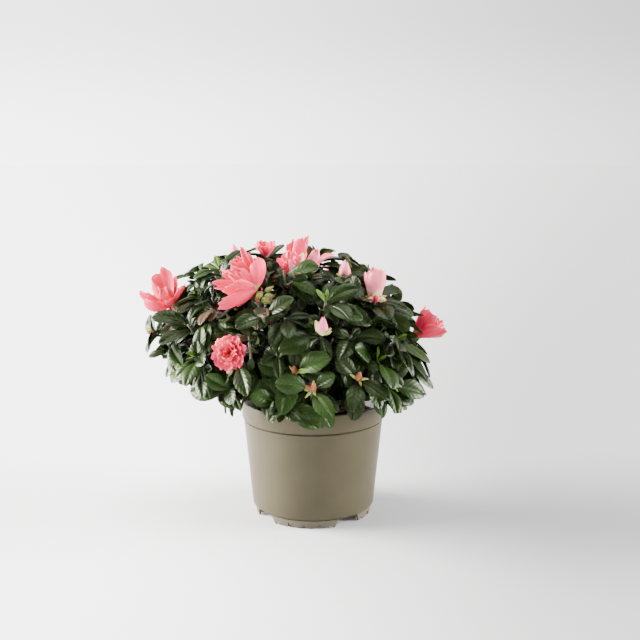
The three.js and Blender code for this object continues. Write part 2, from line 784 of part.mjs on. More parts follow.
// Blossom: a ruffled cup round a full middle, or a plain spindle for a bud
function blossomRings(shoot, kind, scale) {
  const { tip, way } = shoot;
  const height = kind.height * scale;
  const mouth = kind.mouth * scale;
  const ring = (share, radius, ruffle = 0) => {
    const centre = along(tip, way, height * share);
    return ringAround(centre, way, radius, kind.points).map((point, i) => {
      return along(point, way, i % 2 ? ruffle : -ruffle);
    });
  };
  if (kind.heart === 1) {
    return [
      [along(tip, way, -1)],
      ring(0.22, mouth * 0.75),
      ring(0.5, mouth),
      ring(0.8, mouth * 0.55),
      [along(tip, way, height)],
    ];
  }
  return [
    [along(tip, way, -2)],
    ring(0.12, mouth * 0.3),
    ring(0.5, mouth * 0.72),
    ring(0.85, mouth, kind.ruffle),
    ring(0.93, mouth * 0.86, kind.ruffle),
    ring(0.35 + 0.3 * kind.heart, mouth * 0.55),
    [along(tip, way, height * kind.heart)],
  ];
}

function blossom(shoot, mass, placed) {
  const kind = BLOSSOM[shoot.kind];
  if (!kind) return [];
  for (const scale of BLOSSOM_SCALES) {
    const rings = blossomRings(shoot, kind, scale);
    const points = rings.flat();
    const free = clearOfLimbs(points, BLOSSOM_LIMB_MARGIN) && clearOfPot(points);
    if (free && insideCell(points, mass)) {
      placed.push(...points);
      return [loft(rings)];
    }
  }
  return [];
}

function massSolids() {
  const shoots = allShoots();
  return MASSES.map((mass, order) => {
    const random = randomFrom(SEED + 1 + order);
    const { stem, twigs } = growTwigs(mass, shootsOf(mass, shoots));
    const solids = [stem];
    const placed = twigs.flatMap(({ path }) => samples(path[0], path[1], 8));
    twigs.forEach(({ shoot, path }) => {
      solids.push(twigSolid(path), ...blossom(shoot, mass, placed));
    });
    twigs.forEach(({ shoot }) => solids.push(...whorl(shoot, mass, placed, random)));
    const solid = largestBody(wasm.Manifold.union(solids).simplify(FUSE_TOLERANCE));
    return { name: `foliage_${mass.name}`, solid };
  });
}

const plant = new THREE.Group();
plant.add(meshFrom('pot', pot(), POT_PLASTIC));
plant.add(meshFrom('potting_soil', soil(), SOIL));
plant.add(meshFrom('main_stem', stemSolid(), BARK));
boughSolids().forEach(({ name, solid }) => plant.add(meshFrom(name, solid, BARK)));
massSolids().forEach(({ name, solid }) => plant.add(meshFrom(name, solid, FOLIAGE)));

export default plant;
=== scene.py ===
# A potted azalea shrub in bloom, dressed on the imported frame.
# Lengths in the constants are millimetres; everything that goes to Blender is in metres.
import math

import bpy
import numpy as np
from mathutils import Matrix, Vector


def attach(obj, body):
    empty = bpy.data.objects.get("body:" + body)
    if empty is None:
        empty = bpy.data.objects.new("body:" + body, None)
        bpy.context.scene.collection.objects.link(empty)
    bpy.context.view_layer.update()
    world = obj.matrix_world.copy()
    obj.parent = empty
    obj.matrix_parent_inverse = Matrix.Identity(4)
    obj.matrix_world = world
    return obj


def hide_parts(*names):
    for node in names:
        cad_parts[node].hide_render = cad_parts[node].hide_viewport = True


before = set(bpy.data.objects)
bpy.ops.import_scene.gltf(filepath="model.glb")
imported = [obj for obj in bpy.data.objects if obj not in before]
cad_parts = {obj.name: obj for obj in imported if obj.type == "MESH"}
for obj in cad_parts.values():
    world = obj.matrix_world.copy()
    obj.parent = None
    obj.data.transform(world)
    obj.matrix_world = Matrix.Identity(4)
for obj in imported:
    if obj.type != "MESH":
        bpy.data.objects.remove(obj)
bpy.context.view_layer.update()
MM = 0.001

# Pot, as in the solids
POT_HEIGHT = 105.0
RIM_RADIUS = 65.0
RIM_BAND = 16.4
RIM_STEP = 1.6
WALL_TOP_RADIUS = 63.3
WALL_FOOT_RADIUS = 55.6
WALL_THICKNESS = 1.8
BASE_HEIGHT = 8.0
BASE_THICKNESS = 2.2
SKIRT_RADIUS = 53.4
SKIRT_THICKNESS = 2.2
SKIRT_SPLAY = 0.6
PAD_RADIUS = 15.0
FEET = 4
FIRST_GAP_FROM_FRONT = 36.0
GAP_TOP_WIDTH = 20.5
GAP_FOOT_WIDTH = 28.0
GAP_HEIGHT = 7.3
NOTCH_SPACING = 13.4
NOTCHES = ((2.5, 1.8), (2.0, 4.0))
SOIL_TOP = 90.0
SOIL_PROFILE = ((0, 12.8, 30.4, 49.9, 60.8), (SOIL_TOP, SOIL_TOP, 89.4, 88.5, 87.5))
SOIL_FOOT = (53.4, 11.0)

# Limbs, as in the solids
CLEAR = 0.3
STEM_FOOT = np.array([0.0, 0.0, SOIL_TOP + CLEAR])
STEM_TIP = np.array([-9.0, -4.0, 152.0])
STEM_BEND = np.array([2.0, 1.0, (STEM_FOOT[2] + STEM_TIP[2]) / 2])
STEM_FOOT_RADIUS = 6.6
STEM_TIP_RADIUS = 3.4
STEM_FLARE = 3.2
STEM_FLARE_HEIGHT = 9.0
STEM_RINGS = 7
BOUGH_ROOT_RADIUS = 2.6
BOUGH_TIP_RADIUS = 1.9
BOUGH_SHARE = 0.62
LOW_MASS = 170
FORK_HEIGHTS = (103, 129)
FORK_STEP = 7

# The crown, as in the solids
CROWN_CENTRE = np.array([-24.0, 2.0, 138.0])
CROWN_REACH = np.array([114.0, 92.0, 98.0])
CROWN_LOWEST = -0.2
CROWN_HIGHEST = 0.995
OUTER_SHOOTS = 64
INNER_SHOOTS = 20
INNER_SHARE = 0.66
SHOOT_SPACING = 25.0
UNDERSIDE_HEIGHT = 96.0
UNDERSIDE_RADIUS = 82.0
UNDERSIDE_RISE = 0.72
SHOOT_OVER_UNDERSIDE = 16.0
SHOOT_JITTER = 0.09
SHOOT_TURN = 0.3
UPWARD = 0.55
SHOOT_LENGTH = 13.0
CELL_MARGIN = 0.35
LIMB_MARGIN = 0.7
SEED = 20417
GOLDEN_ANGLE = math.pi * (3 - math.sqrt(5))
PATH_WEIGHT = 0.55
FORK_WEIGHT = 12.0
TWIG_ROOT_RADIUS = 1.9
LEAF_LENGTH = 37.0
LEAF_WIDEST = 0.56
LEAF_DROOP = 0.14
LEAF_APART = 3.2
LEAF_TURN = 137.5
UP = np.array([0.0, 0.0, 1.0])

# In the scene alone: how near a leaf's neighbours are looked for, shoots between those of the
# solids, the spot round which the leaves have a bronze tint, and rows and points round each mesh
LOOK_SEED = 7301
LEAF_REACH = 50.0
LATER_SHOOTS = 90
LATER_SHARE = 0.9
BRONZE_SPOT = np.array([-58.0, -50.0, 195.0])
BRONZE_REACH = 28.0
MID_SHARE = 0.12
PALER_BELOW = 178
TO_VIEWER = np.array([0.0, -46.0, 9.0])
STEM_GRID = (90, 34)
BOUGH_GRID = (44, 18)
SOIL_GRID = (44, 150)
CRUMBS = 1500

MASSES = [
    ("front_left", -128, 69, 148),
    ("front", -84, 64, 146),
    ("front_right", -38, 76, 148),
    ("right", 6, 84, 150),
    ("back_right", 50, 76, 148),
    ("back", 95, 66, 148),
    ("back_left", 140, 74, 148),
    ("left", -174, 82, 140),
    ("far_left", 186, 96, 190),
    ("upper_front_left", -126, 60, 212),
    ("upper_front_right", -28, 72, 204),
    ("upper_back_right", 46, 64, 206),
    ("upper_back_left", 122, 50, 210),
    ("top", -46, 24, 216),
]
NAMES = [mass[0] for mass in MASSES]
HUBS = np.array([
    CROWN_CENTRE * [1, 1, 0]
    + [out * math.cos(math.radians(turn)), out * math.sin(math.radians(turn)), height]
    for _, turn, out, height in MASSES
])

# Mouth radius, height, points, heart and ruffle of each kind of blossom's solid
BLOSSOM = {
    "cup": (19, 30, 8, 0.45, 3),
    "wide": (21, 36, 8, 0.45, 4),
    "half": (15, 31, 8, 0.4, 3),
    "double": (18, 22, 8, 0.85, 3),
    "open": (30, 20, 8, 0.7, 4),
    "closed": (10, 27, 6, 1, 0),
    "bud": (4.5, 14, 5, 1, 0),
    "cone": (2.6, 8, 4, 1, 0),
}
BLOSSOM_SCALES = (1, 0.94, 0.88, 0.8, 0.72, 0.64, 0.56)
NAMED_SHOOTS = [
    ("A", "cup", (-128, -8, 190), (-0.4, -0.25, 0.88)),
    ("B", "wide", (-47, -44, 204), (-0.5, -0.3, 0.8)),
    ("C", "half", (-16, -20, 222), (-0.35, -0.1, 0.93)),
    ("CC", "half", (-4, -12, 225), (0.25, -0.2, 0.95)),
    ("D", "double", (-67, -66, 160), (-0.25, -0.92, 0.3)),
    ("E", "bud", (-43, 24, 231), (-0.1, -0.1, 0.99)),
    ("F", "closed", (53, -42, 202), (0.05, -0.2, 0.98)),
    ("G", "bud", (8, -76, 178), (0.1, -0.75, 0.65)),
    ("H", "bud", (27, -26, 219), (0.1, -0.2, 0.97)),
    ("I", "cone", (0, -88, 134), (0.05, -0.9, 0.4)),
    ("J", "cone", (-14, -78, 146), (-0.1, -0.85, 0.5)),
    ("K", "cone", (38, -80, 141), (0.2, -0.85, 0.5)),
    ("L", "cone", (-140, -14, 166), (-0.85, -0.25, 0.35)),
]
SPIRAL_BLOSSOM = {
    16: "open", 19: "open", 21: "half", 22: "cup", 27: "bud",
    40: "double", 43: "bud", 45: "cup", 48: "open", 56: "bud",
}


# Seeded numbers, the same as the solids' own
def draws_from(seed):
    mask = 0xFFFFFFFF
    state = seed & mask

    def draw():
        nonlocal state
        state = (state + 0x6D2B79F5) & mask
        mixed = ((state ^ (state >> 15)) * (state | 1)) & mask
        mixed ^= (mixed + (((mixed ^ (mixed >> 7)) * (mixed | 61)) & mask)) & mask
        return ((mixed ^ (mixed >> 14)) & mask) / 4294967296

    return draw


def unit(v):
    v = np.asarray(v, float)
    return v / np.linalg.norm(v, axis=-1, keepdims=True)


# The way that a bloom of the photo faces, where it nods away from its shoot
AXES = {
    "A": unit([-0.3, -0.36, 0.88]),
    "B": unit([-0.84, -0.42, 0.33]),
    "C": unit([-0.08, -0.2, 0.98]),
    "D": unit([-0.22, -0.93, 0.3]),
    "G": unit([0.05, -0.3, 0.95]),
    "I": unit([0.25, -0.45, 0.85]),
    "J": unit([-0.2, -0.5, 0.85]),
    "K": unit([0.1, -0.4, 0.9]),
}


def cross_axes(direction):
    helper = np.array([1.0, 0, 0]) if abs(direction[2]) > 0.9 else UP
    first = unit(np.cross(helper, direction))
    return first, unit(np.cross(direction, first))


def lerp(a, b, share):
    return a + (b - a) * share


def between(a, b, count):
    return lerp(a, b, np.linspace(0, 1, count + 1)[:, None])


def bezier(a, b, c, t):
    t = np.asarray(t, float)[..., None]
    return (1 - t) ** 2 * a + 2 * t * (1 - t) * b + t**2 * c


def stem_point(t):
    return bezier(STEM_FOOT, STEM_BEND, STEM_TIP, t)


def stem_radius(share):
    height = np.asarray(share) * (STEM_TIP[2] - STEM_FOOT[2])
    flare = STEM_FLARE * np.maximum(0, 1 - height / STEM_FLARE_HEIGHT) ** 2
    return STEM_FOOT_RADIUS + (STEM_TIP_RADIUS - STEM_FOOT_RADIUS) * np.asarray(share) + flare


def bough_ends(order):
    """A low mass's bough leaves the stem lower down, and rises in its middle."""
    low = MASSES[order][3] < LOW_MASS
    height = FORK_HEIGHTS[0 if low else 1] + (order % 2) * FORK_STEP
    start = stem_point((height - STEM_FOOT[2]) / (STEM_TIP[2] - STEM_FOOT[2]))
    end = lerp(start, HUBS[order], BOUGH_SHARE)
    bend = lerp(start, end, 0.45) + UP * (3 if low else -5)
    return start, bend, end


BOUGHS = {name: bough_ends(order) for order, name in enumerate(NAMES) if name != "top"}
STEM_SHARES = (np.arange(STEM_RINGS) / (STEM_RINGS - 1)) ** 1.4
STEM_PATH = stem_point(STEM_SHARES)


def capsules(rows):
    """Starts, ways, squared lengths and radii, from rows of start, end and radius."""
    starts, ends, radii = (np.array(part, float) for part in zip(*rows))
    ways = ends - starts
    return starts, ways, (ways**2).sum(1), radii


def limb_capsules():
    wide = stem_radius(STEM_SHARES)
    rows = list(zip(STEM_PATH[:-1], STEM_PATH[1:], np.maximum(wide[:-1], wide[1:])))
    wide = np.linspace(BOUGH_ROOT_RADIUS, BOUGH_TIP_RADIUS, 5)
    for bough in BOUGHS.values():
        path = bezier(*bough, np.linspace(0, 1, 5))
        rows += zip(path[:-1], path[1:], wide[:-1])
    return capsules(rows)


LIMBS = limb_capsules()


def capsule_gaps(points, starts, ways, squares, radii):
    """How far each point lies outside each capsule."""
    offset = points[..., None, :] - starts
    share = np.clip((offset * ways).sum(-1) / squares, 0, 1)
    return np.linalg.norm(offset - share[..., None] * ways, axis=-1) - radii


def clear_of(points, margin, group=LIMBS):
    return (capsule_gaps(points, *group) > margin).all(-1)


def cell_planes(order):
    others = np.delete(HUBS, order, axis=0)
    normals = unit(others - HUBS[order])
    return normals, (normals * (others + HUBS[order]) / 2).sum(1)


CELLS = [cell_planes(order) for order in range(len(MASSES))]


def inside_cell(points, order, margin=CELL_MARGIN):
    normals, levels = CELLS[order]
    return (points @ normals.T - levels < -margin).all(-1)


def underside(points):
    beyond = np.maximum(0, np.hypot(points[..., 0], points[..., 1]) - UNDERSIDE_RADIUS)
    return UNDERSIDE_HEIGHT + UNDERSIDE_RISE * beyond


def clear_of_pot(points):
    outside = np.hypot(points[..., 0], points[..., 1]) > RIM_RADIUS + 1.2
    return points[..., 2] > np.where(outside, underside(points), POT_HEIGHT + 1)


def all_free(points, order, margin, limb_margin):
    """Whether the points all lie in their mass's cell, over the pot and off the limbs."""
    free = inside_cell(points, order, margin) & clear_of_pot(points)
    return (free & clear_of(points, limb_margin)).all()


# Shoots
def spiral_shoots(count, share, draw):
    shoots = []
    for i in range(count):
        sine = CROWN_LOWEST + (CROWN_HIGHEST - CROWN_LOWEST) * (i + 0.5) / count
        cosine = math.sqrt(1 - sine * sine)
        angle = i * GOLDEN_ANGLE + (draw() - 0.5) * SHOOT_TURN
        reach = share * (1 + (draw() - 0.5) * 2 * SHOOT_JITTER)
        tip = np.array([cosine * math.cos(angle), cosine * math.sin(angle), sine])
        tip = tip * CROWN_REACH * reach + CROWN_CENTRE
        tip[2] = max(tip[2], underside(tip) + SHOOT_OVER_UNDERSIDE)
        way = unit((tip - CROWN_CENTRE) / CROWN_REACH**2) + UP * UPWARD
        way[0] += (draw() - 0.5) * SHOOT_TURN
        way[1] += (draw() - 0.5) * SHOOT_TURN
        shoots.append({"tip": tip, "way": unit(way), "order": i, "kind": "leaves"})
    return shoots


def all_shoots():
    draw = draws_from(SEED)
    named = [
        {"kind": kind, "tip": np.array(tip, float), "way": unit(way), "name": name}
        for name, kind, tip, way in NAMED_SHOOTS
    ]
    outer = spiral_shoots(OUTER_SHOOTS, 1, draw)
    inner = spiral_shoots(INNER_SHOOTS, INNER_SHARE, draw)
    for shoot in outer:
        shoot["kind"] = SPIRAL_BLOSSOM.get(shoot["order"], "leaves")
    for shoot in inner:
        shoot["inner"] = True
    tips = np.array([shoot["tip"] for shoot in named])
    free = [
        shoot
        for shoot in outer + inner
        if (np.linalg.norm(tips - shoot["tip"], axis=1) > SHOOT_SPACING).all()
    ]
    return named + free


def knee_of(shoot):
    return shoot["tip"] - shoot["way"] * SHOOT_LENGTH


def shoots_of(order, shoots):
    own = []
    for shoot in shoots:
        if np.linalg.norm(HUBS - shoot["tip"], axis=1).argmin() != order:
            continue
        drawn = {**shoot, "tip": shoot["tip"].copy()}
        for _ in range(5 if "order" in shoot else 0):
            if inside_cell(np.array([drawn["tip"], knee_of(drawn)]), order).all():
                break
            drawn["tip"] = lerp(drawn["tip"], HUBS[order], 0.1)
        own.append(drawn)
    return own


def stem_of(order):
    if NAMES[order] == "top":
        path, radius = STEM_PATH, STEM_TIP_RADIUS
    else:
        path, radius = bezier(*BOUGHS[NAMES[order]], np.linspace(0, 1, 5)), BOUGH_TIP_RADIUS
    direction = unit(path[-1] - path[-2])
    return path[-1] + direction * CLEAR, direction, radius


def grow_twigs(order, shoots):
    hub = HUBS[order]
    start, direction, radius = stem_of(order)
    middle = start + direction * 0.4 * np.linalg.norm(start - hub)
    joints = []

    def offer(a, b, path, shares):
        for share in shares:
            point = lerp(a, b, share)
            joints.append([point, path + np.linalg.norm(point - a), 0])

    offer(middle, hub, 0, (0.25, 0.5, 0.75, 0.97))
    twigs = []
    for shoot in sorted(shoots, key=lambda s: np.linalg.norm(s["tip"] - hub)):
        knee = knee_of(shoot)
        if not inside_cell(np.array([knee, shoot["tip"]]), order).all():
            continue

        def cost(joint):
            return (
                np.linalg.norm(joint[0] - knee) + PATH_WEIGHT * joint[1] + FORK_WEIGHT * joint[2]
            )

        for joint in sorted(joints, key=cost):
            line = np.vstack([between(joint[0], knee, 12), between(knee, shoot["tip"], 3)])
            clear = clear_of(line, TWIG_ROOT_RADIUS + LIMB_MARGIN) & clear_of_pot(line)
            if clear.all():
                joint[2] += 1
                twigs.append((shoot, joint[0], knee))
                offer(joint[0], knee, joint[1], (0.4, 0.65, 0.9))
                break
    return (start, middle, hub, radius), twigs


# Leaves: where one may grow
def leaf_samples(root, ways, normals, length, width_share):
    """Points of a leaf laid along each of the given ways."""
    side = unit(np.cross(normals, ways))
    widest = root + ways * length * LEAF_WIDEST
    half = length * width_share / 2
    stalk = root - ways * 0.6
    tip = root + ways * length - UP * LEAF_DROOP * length
    left, right = widest + side * half + normals, widest - side * half + normals
    keel = widest - normals * 1.4
    rows = []
    for edge in (left, lerp(left, keel, 0.5), keel, lerp(keel, right, 0.5), right):
        rows += [lerp(stalk, edge, share) for share in (0.5, 0.75, 1)]
        rows += [lerp(edge, tip, share) for share in (1 / 3, 2 / 3, 1)]
    return np.stack(rows, 1)


# Air that leaves stay out of: over both ends of the rim, where the lining shows, and round each
# blossom and in front of those at the front
RIM_AIR = (
    (np.array([-60.0, -18, 107]), np.array([-42.0, -62, 107]), 7.0),
    (np.array([-51.0, -50, 107]), np.array([-51.0, -112, 118]), 8.0),
    (np.array([58.0, -20, 107]), np.array([38.0, -60, 107]), 6.0),
    (np.array([46.0, -50, 107]), np.array([46.0, -112, 118]), 7.0),
)


def open_air(shoots):
    rows = list(RIM_AIR)
    for shoot in shoots:
        if shoot["kind"] == "leaves":
            continue
        mouth, height = BLOSSOM[shoot["kind"]][:2]
        tip, way = shoot["tip"], AXES.get(shoot.get("name"), shoot["way"])
        rows.append((tip + way * 6, tip + way * (height + 10), mouth * 0.9 + 1))
        if "name" in shoot:
            middle = tip + way * height * 0.62
            rows.append((middle, middle + TO_VIEWER, mouth * 0.92 + 1.5))
    return capsules(rows)


class Leaves:
    """The leaves of the plant, each clear of the limbs, the pot, the blossom and the others."""

    def __init__(self):
        self.rows = []
        self.air = None

    def gather(self, shoot, order, placed):
        """Keeps what lies within a leaf's reach of the shoot, for the tests that follow."""
        self.order, self.placed, self.centre = order, placed, shoot["tip"]
        gaps = ((placed[0] - self.centre) ** 2).sum(1)
        self.near = placed[0][gaps < LEAF_REACH**2] - self.centre
        self.groups = []
        for group, margin in ((self.air, 0), (LIMBS, LIMB_MARGIN)):
            close = capsule_gaps(self.centre, *group) < LEAF_REACH
            if close.any():
                self.groups.append((margin, [part[close] for part in group]))

    def fits(self, samples, apart):
        kept = (inside_cell(samples, self.order) & clear_of_pot(samples)).all(1)
        for margin, group in self.groups:
            if kept.any():
                kept[kept] = clear_of(samples[kept], margin, group).all(1)
        if len(self.near) and kept.any():
            spots = (samples[kept] - self.centre).reshape(-1, 3)
            squares = (spots**2).sum(1)[:, None] + (self.near**2).sum(1) - 2 * spots @ self.near.T
            nearest = squares.min(1).reshape(-1, samples.shape[1]).min(1)
            kept[kept] = nearest > apart**2
        return kept

    def try_one(self, shoot, apart, scales, turns, degrees, below, opening, length, width, tone,
                droop=LEAF_DROOP, coarse=False):
        """Lays one leaf at the first scale and turn that fit, if any do."""
        first, second = cross_axes(shoot["way"])
        root = shoot["tip"] - shoot["way"] * below
        angle = np.radians(degrees + np.array(turns))[:, None]
        out = first * np.cos(angle) + second * np.sin(angle)
        sine, cosine = math.sin(math.radians(opening)), math.cos(math.radians(opening))
        ways = out * sine + shoot["way"] * cosine
        normals = shoot["way"] * sine - out * cosine
        for scale in scales:
            samples = leaf_samples(root, ways, normals, length * scale, width)
            fit = np.flatnonzero(self.fits(samples, apart))
            if len(fit):
                pick = fit[0]
                self.placed[0] = np.vstack([self.placed[0], samples[pick]])
                self.near = np.vstack([self.near, samples[pick] - self.centre])
                self.rows.append({
                    "root": root, "way": ways[pick], "normal": normals[pick],
                    "length": length * scale, "width": width, "tone": tone, "droop": droop,
                    "coarse": coarse,
                })
                return


leaves = Leaves()
blooms = []
twig_lines = []
look = draws_from(LOOK_SEED)


def place_blossom(shoot, order, placed):
    if shoot["kind"] not in BLOSSOM:
        return
    mouth, height, points, heart, ruffle = BLOSSOM[shoot["kind"]]
    first, second = cross_axes(shoot["way"])
    angles = 2 * math.pi * np.arange(points) / points
    circle = np.cos(angles)[:, None] * first + np.sin(angles)[:, None] * second
    wave = np.where(np.arange(points) % 2, ruffle, -ruffle)[:, None] * shoot["way"]
    for scale in BLOSSOM_SCALES:
        def ring(share, radius, wave=0):
            centre = shoot["tip"] + shoot["way"] * height * scale * share
            return centre + circle * mouth * radius * scale + wave

        def spot(distance):
            return (shoot["tip"] + shoot["way"] * distance)[None]

        if heart == 1:
            rings = [spot(-1), ring(0.22, 0.75), ring(0.5, 1), ring(0.8, 0.55),
                     spot(height * scale)]
        else:
            rings = [spot(-2), ring(0.12, 0.3), ring(0.5, 0.72), ring(0.85, 1, wave),
                     ring(0.93, 0.86, wave), ring(0.35 + 0.3 * heart, 0.55),
                     spot(height * scale * heart)]
        cloud = np.vstack(rings)
        if all_free(cloud, order, CELL_MARGIN, 1):
            placed[0] = np.vstack([placed[0], cloud])
            blooms.append((shoot, scale))
            return


def tone_of(shoot):
    """Leaves of one shoot share a tone, so that colours lie in sprays."""
    pick = look()
    if np.linalg.norm(shoot["tip"] - BRONZE_SPOT) < BRONZE_REACH:
        return "bronze"
    low = np.clip((PALER_BELOW - shoot["tip"][2]) / 60, 0, 1)
    return "mid" if pick < MID_SHARE + 0.6 * low else "dark"


def main_whorl(shoot, draw):
    """The large leaves, as in the solids."""
    leafy = shoot["kind"] in ("cone", "leaves")
    upper = 4 if leafy else 1
    first_turn = draw() * 360
    shared = tone_of(shoot)
    for i in range(upper + 5):
        opening = 58 + 16 * draw() if i < upper else 80 + 18 * draw()
        length = LEAF_LENGTH + (draw() - 0.5) * 8 - (4 if i < upper else 0)
        degrees = first_turn + i * LEAF_TURN + (draw() - 0.5) * 20
        tone = "dark" if shared == "bronze" and i % 3 == 2 else shared
        if shared == "dark" and look() < MID_SHARE:
            tone = "mid"
        leaves.try_one(shoot, LEAF_APART, (1, 0.85, 0.7), (0, 20, -20, 40, -40, 60, -60), degrees,
                       (0.8 if leafy else 3.6) + 1.7 * i, opening, length, 0.5, tone)


def filler_whorl(shoot, count, longest, apart=2.0, coarse=False):
    """Smaller leaves between the main ones, and further down the twig."""
    turn = look() * 360
    shared = tone_of(shoot)
    for i in range(count):
        dark = coarse or shared == "bronze" and i % 3 == 2
        leaves.try_one(
            shoot, apart, (1, 0.8, 0.62), (0, 25, -25, 50, -50),
            degrees=turn + i * LEAF_TURN + 24 * (look() - 0.5), below=1.5 + 1.5 * i,
            opening=52 + 46 * look(), length=longest * (0.72 + 0.28 * look()),
            width=0.42 + 0.08 * look(), tone="dark" if dark else shared, coarse=coarse,
        )


def young_whorl(shoot):
    """Small fresh leaves that stand in the middle of some rosettes."""
    if shoot["kind"] not in ("leaves", "cone", "bud", "closed") or shoot.get("inner"):
        return
    if shoot["kind"] == "leaves" and look() < 0.55:
        return
    turn = look() * 360
    for i in range(3 + int(3 * look())):
        leaves.try_one(shoot, 0.9, (1, 0.75), (0, 30, -30), turn + i * LEAF_TURN, -1.2 + 0.8 * i,
                       16 + 42 * look(), 8 + 8 * look(), 0.28 + 0.1 * look(), "fresh", 0.02)


def fine_shoot(order, placed, shoot, twig, *whorl, coarse=False):
    """A whorl of the scene alone, on a fine twig that is there only if the whorl has a leaf."""
    before = len(leaves.rows)
    leaves.gather(shoot, order, placed)
    filler_whorl(shoot, *whorl, coarse)
    if len(leaves.rows) > before:
        twig_lines.append((*twig, "young"))


def side_twigs(order, twigs, placed):
    """Finer twigs that leave the twigs of the solids and carry small whorls inside the crown."""
    for _, joint, knee in twigs:
        length = np.linalg.norm(knee - joint)
        along = unit(knee - joint)
        first, second = cross_axes(along)
        for share in (0.22, 0.36, 0.5, 0.62, 0.74, 0.86, 0.97):
            if length * share < 6:
                continue
            base = lerp(joint, knee, share)
            angle = look() * 2 * math.pi
            out = first * math.cos(angle) + second * math.sin(angle)
            way = unit(out + 0.5 * along + 0.55 * UP)
            tip = base + way * (9 + 9 * look())
            if all_free(between(base, tip, 5), order, 1, 1.2):
                small = {"tip": tip, "way": way}
                twig = (base, lerp(base, tip, 0.5) - UP, tip, 1.0, 0.7)
                fine_shoot(order, placed, small, twig, 8, 31, 1.3, coarse=True)


def later_twigs(order, shoots, twigs, placed):
    """Shoots between those of the solids, a little further in, on the nearest of their twigs."""
    joints = [lerp(joint, knee, share) for _, joint, knee in twigs for share in (0.3, 0.55, 0.8)]
    for shoot in shoots:
        tip, knee = shoot["tip"], knee_of(shoot)
        if np.linalg.norm(HUBS - tip, axis=1).argmin() != order or not joints:
            continue
        joint = min(joints, key=lambda point: np.linalg.norm(point - knee))
        line = np.vstack([between(joint, knee, 8), between(knee, tip, 3)])
        if all_free(line, order, 1, 1.4) and np.linalg.norm(knee - joint) <= 45:
            fine_shoot(order, placed, shoot, (joint, knee, tip, 1.2, 0.9), 9, 34, 1.5)


def grow():
    shoots = all_shoots()
    later = spiral_shoots(LATER_SHOOTS, LATER_SHARE, look)
    leaves.air = open_air(shoots)
    for order in range(len(MASSES)):
        draw = draws_from(SEED + 1 + order)
        (start, middle, hub, radius), twigs = grow_twigs(order, shoots_of(order, shoots))
        twig_lines.append((start - unit(middle - start), middle, hub, radius, 1.4, "old"))
        paths = [between(joint, knee, 8) for _, joint, knee in twigs]
        placed = [np.vstack(paths) if paths else np.zeros((1, 3))]
        for shoot, joint, knee in twigs:
            twig_lines.append((joint, knee, shoot["tip"], 1.5, 1.05, "young"))
            place_blossom(shoot, order, placed)
        for whorl, settings in ((main_whorl, (draw,)), (young_whorl, ()), (filler_whorl, (7, 33))):
            for shoot, _, _ in twigs:
                leaves.gather(shoot, order, placed)
                whorl(shoot, *settings)
        later_twigs(order, later, twigs, placed)
        side_twigs(order, twigs, placed)


grow()


# Meshes: rows of rings, joined into one piece
NO_CORNER = -(10**9)


class Mesh:
    """Vertices, faces, coordinates for patterns and finishes, gathered for one piece."""

    def __init__(self, grid=None):
        self.grid = grid
        self.rows = []
        self.count = 0

    def add(self, points, faces, coords, kinds):
        """A face of three corners has a negative number in place of its fourth."""
        self.rows.append((points, faces + self.count, coords, kinds))
        self.count += len(points)

    def add_turned(self, rings, ends, coords, kinds=0, end_coords=((0, 0), (0, 0))):
        """Rings of points, closed with a fan of triangles to a point at each end."""
        count, around = rings.shape[:2]
        j = np.arange(around)
        k, last = (j + 1) % around, (count - 1) * around
        faces = [loop_faces(count, around)]
        for centre, a, b in ((count * around, k, j), (count * around + 1, last + j, last + k)):
            faces.append(np.stack([j * 0 + centre, a, b, j * 0 + NO_CORNER], 1))
        faces = np.vstack(faces)
        self.add(np.vstack([rings.reshape(-1, 3), ends]), faces,
                 np.vstack([coords.reshape(-1, 2), end_coords]),
                 np.broadcast_to(kinds, len(faces)))

    def build(self, name, materials, sharp=None):
        points, faces, coords, kinds = (np.concatenate(part) for part in zip(*self.rows))
        three = faces[:, 3] < 0
        order = np.concatenate([np.flatnonzero(~three), np.flatnonzero(three)])
        corners = np.concatenate([faces[~three].ravel(), faces[three][:, :3].ravel()])
        totals = np.where(three[order], 3, 4)
        mesh = bpy.data.meshes.new(name)
        mesh.vertices.add(len(points))
        mesh.vertices.foreach_set("co", (points * MM).astype(np.float32).ravel())
        mesh.loops.add(len(corners))
        mesh.loops.foreach_set("vertex_index", corners.astype(np.int32))
        mesh.polygons.add(len(totals))
        mesh.polygons.foreach_set("loop_start", (np.cumsum(totals) - totals).astype(np.int32))
        mesh.polygons.foreach_set("material_index", kinds[order].astype(np.int32))
        mesh.update(calc_edges=True)
        mesh.uv_layers.new(name="along").data.foreach_set(
            "uv", coords[corners].astype(np.float32).ravel()
        )
        mesh.shade_smooth()
        if sharp:
            mesh.set_sharp_from_angle(angle=math.radians(sharp))
        for material in materials:
            mesh.materials.append(material)
        mesh.validate()
        piece = bpy.data.objects.new(name, mesh)
        bpy.context.scene.collection.objects.link(piece)
        return piece


def loop_faces(rows, around):
    """Quads between closed rings of points."""
    i, j = np.arange(rows - 1)[:, None] * around, np.arange(around)[None]
    k = (j + 1) % around
    return np.stack([i + j, i + k, i + around + k, i + around + j], 2).reshape(-1, 4)


def blade_faces(rows, columns):
    """Faces of a thin blade: each row is a ring of 2 * columns points, top then underneath."""
    around = 2 * columns
    quads = loop_faces(rows, around)[:, ::-1]
    kinds = np.tile((np.arange(around) >= columns).astype(int), rows - 1)
    caps = []
    for row, way in ((0, 1), (rows - 1, -1)):
        for j in range(columns):
            cap = list(dict.fromkeys([j, j + 1, around - j - 1, (around - j) % around]))[::way]
            caps.append([row * around + corner for corner in cap] + [-1] * (4 - len(cap)))
    return np.vstack([quads, caps]), np.concatenate([kinds, np.zeros(len(caps), int)])


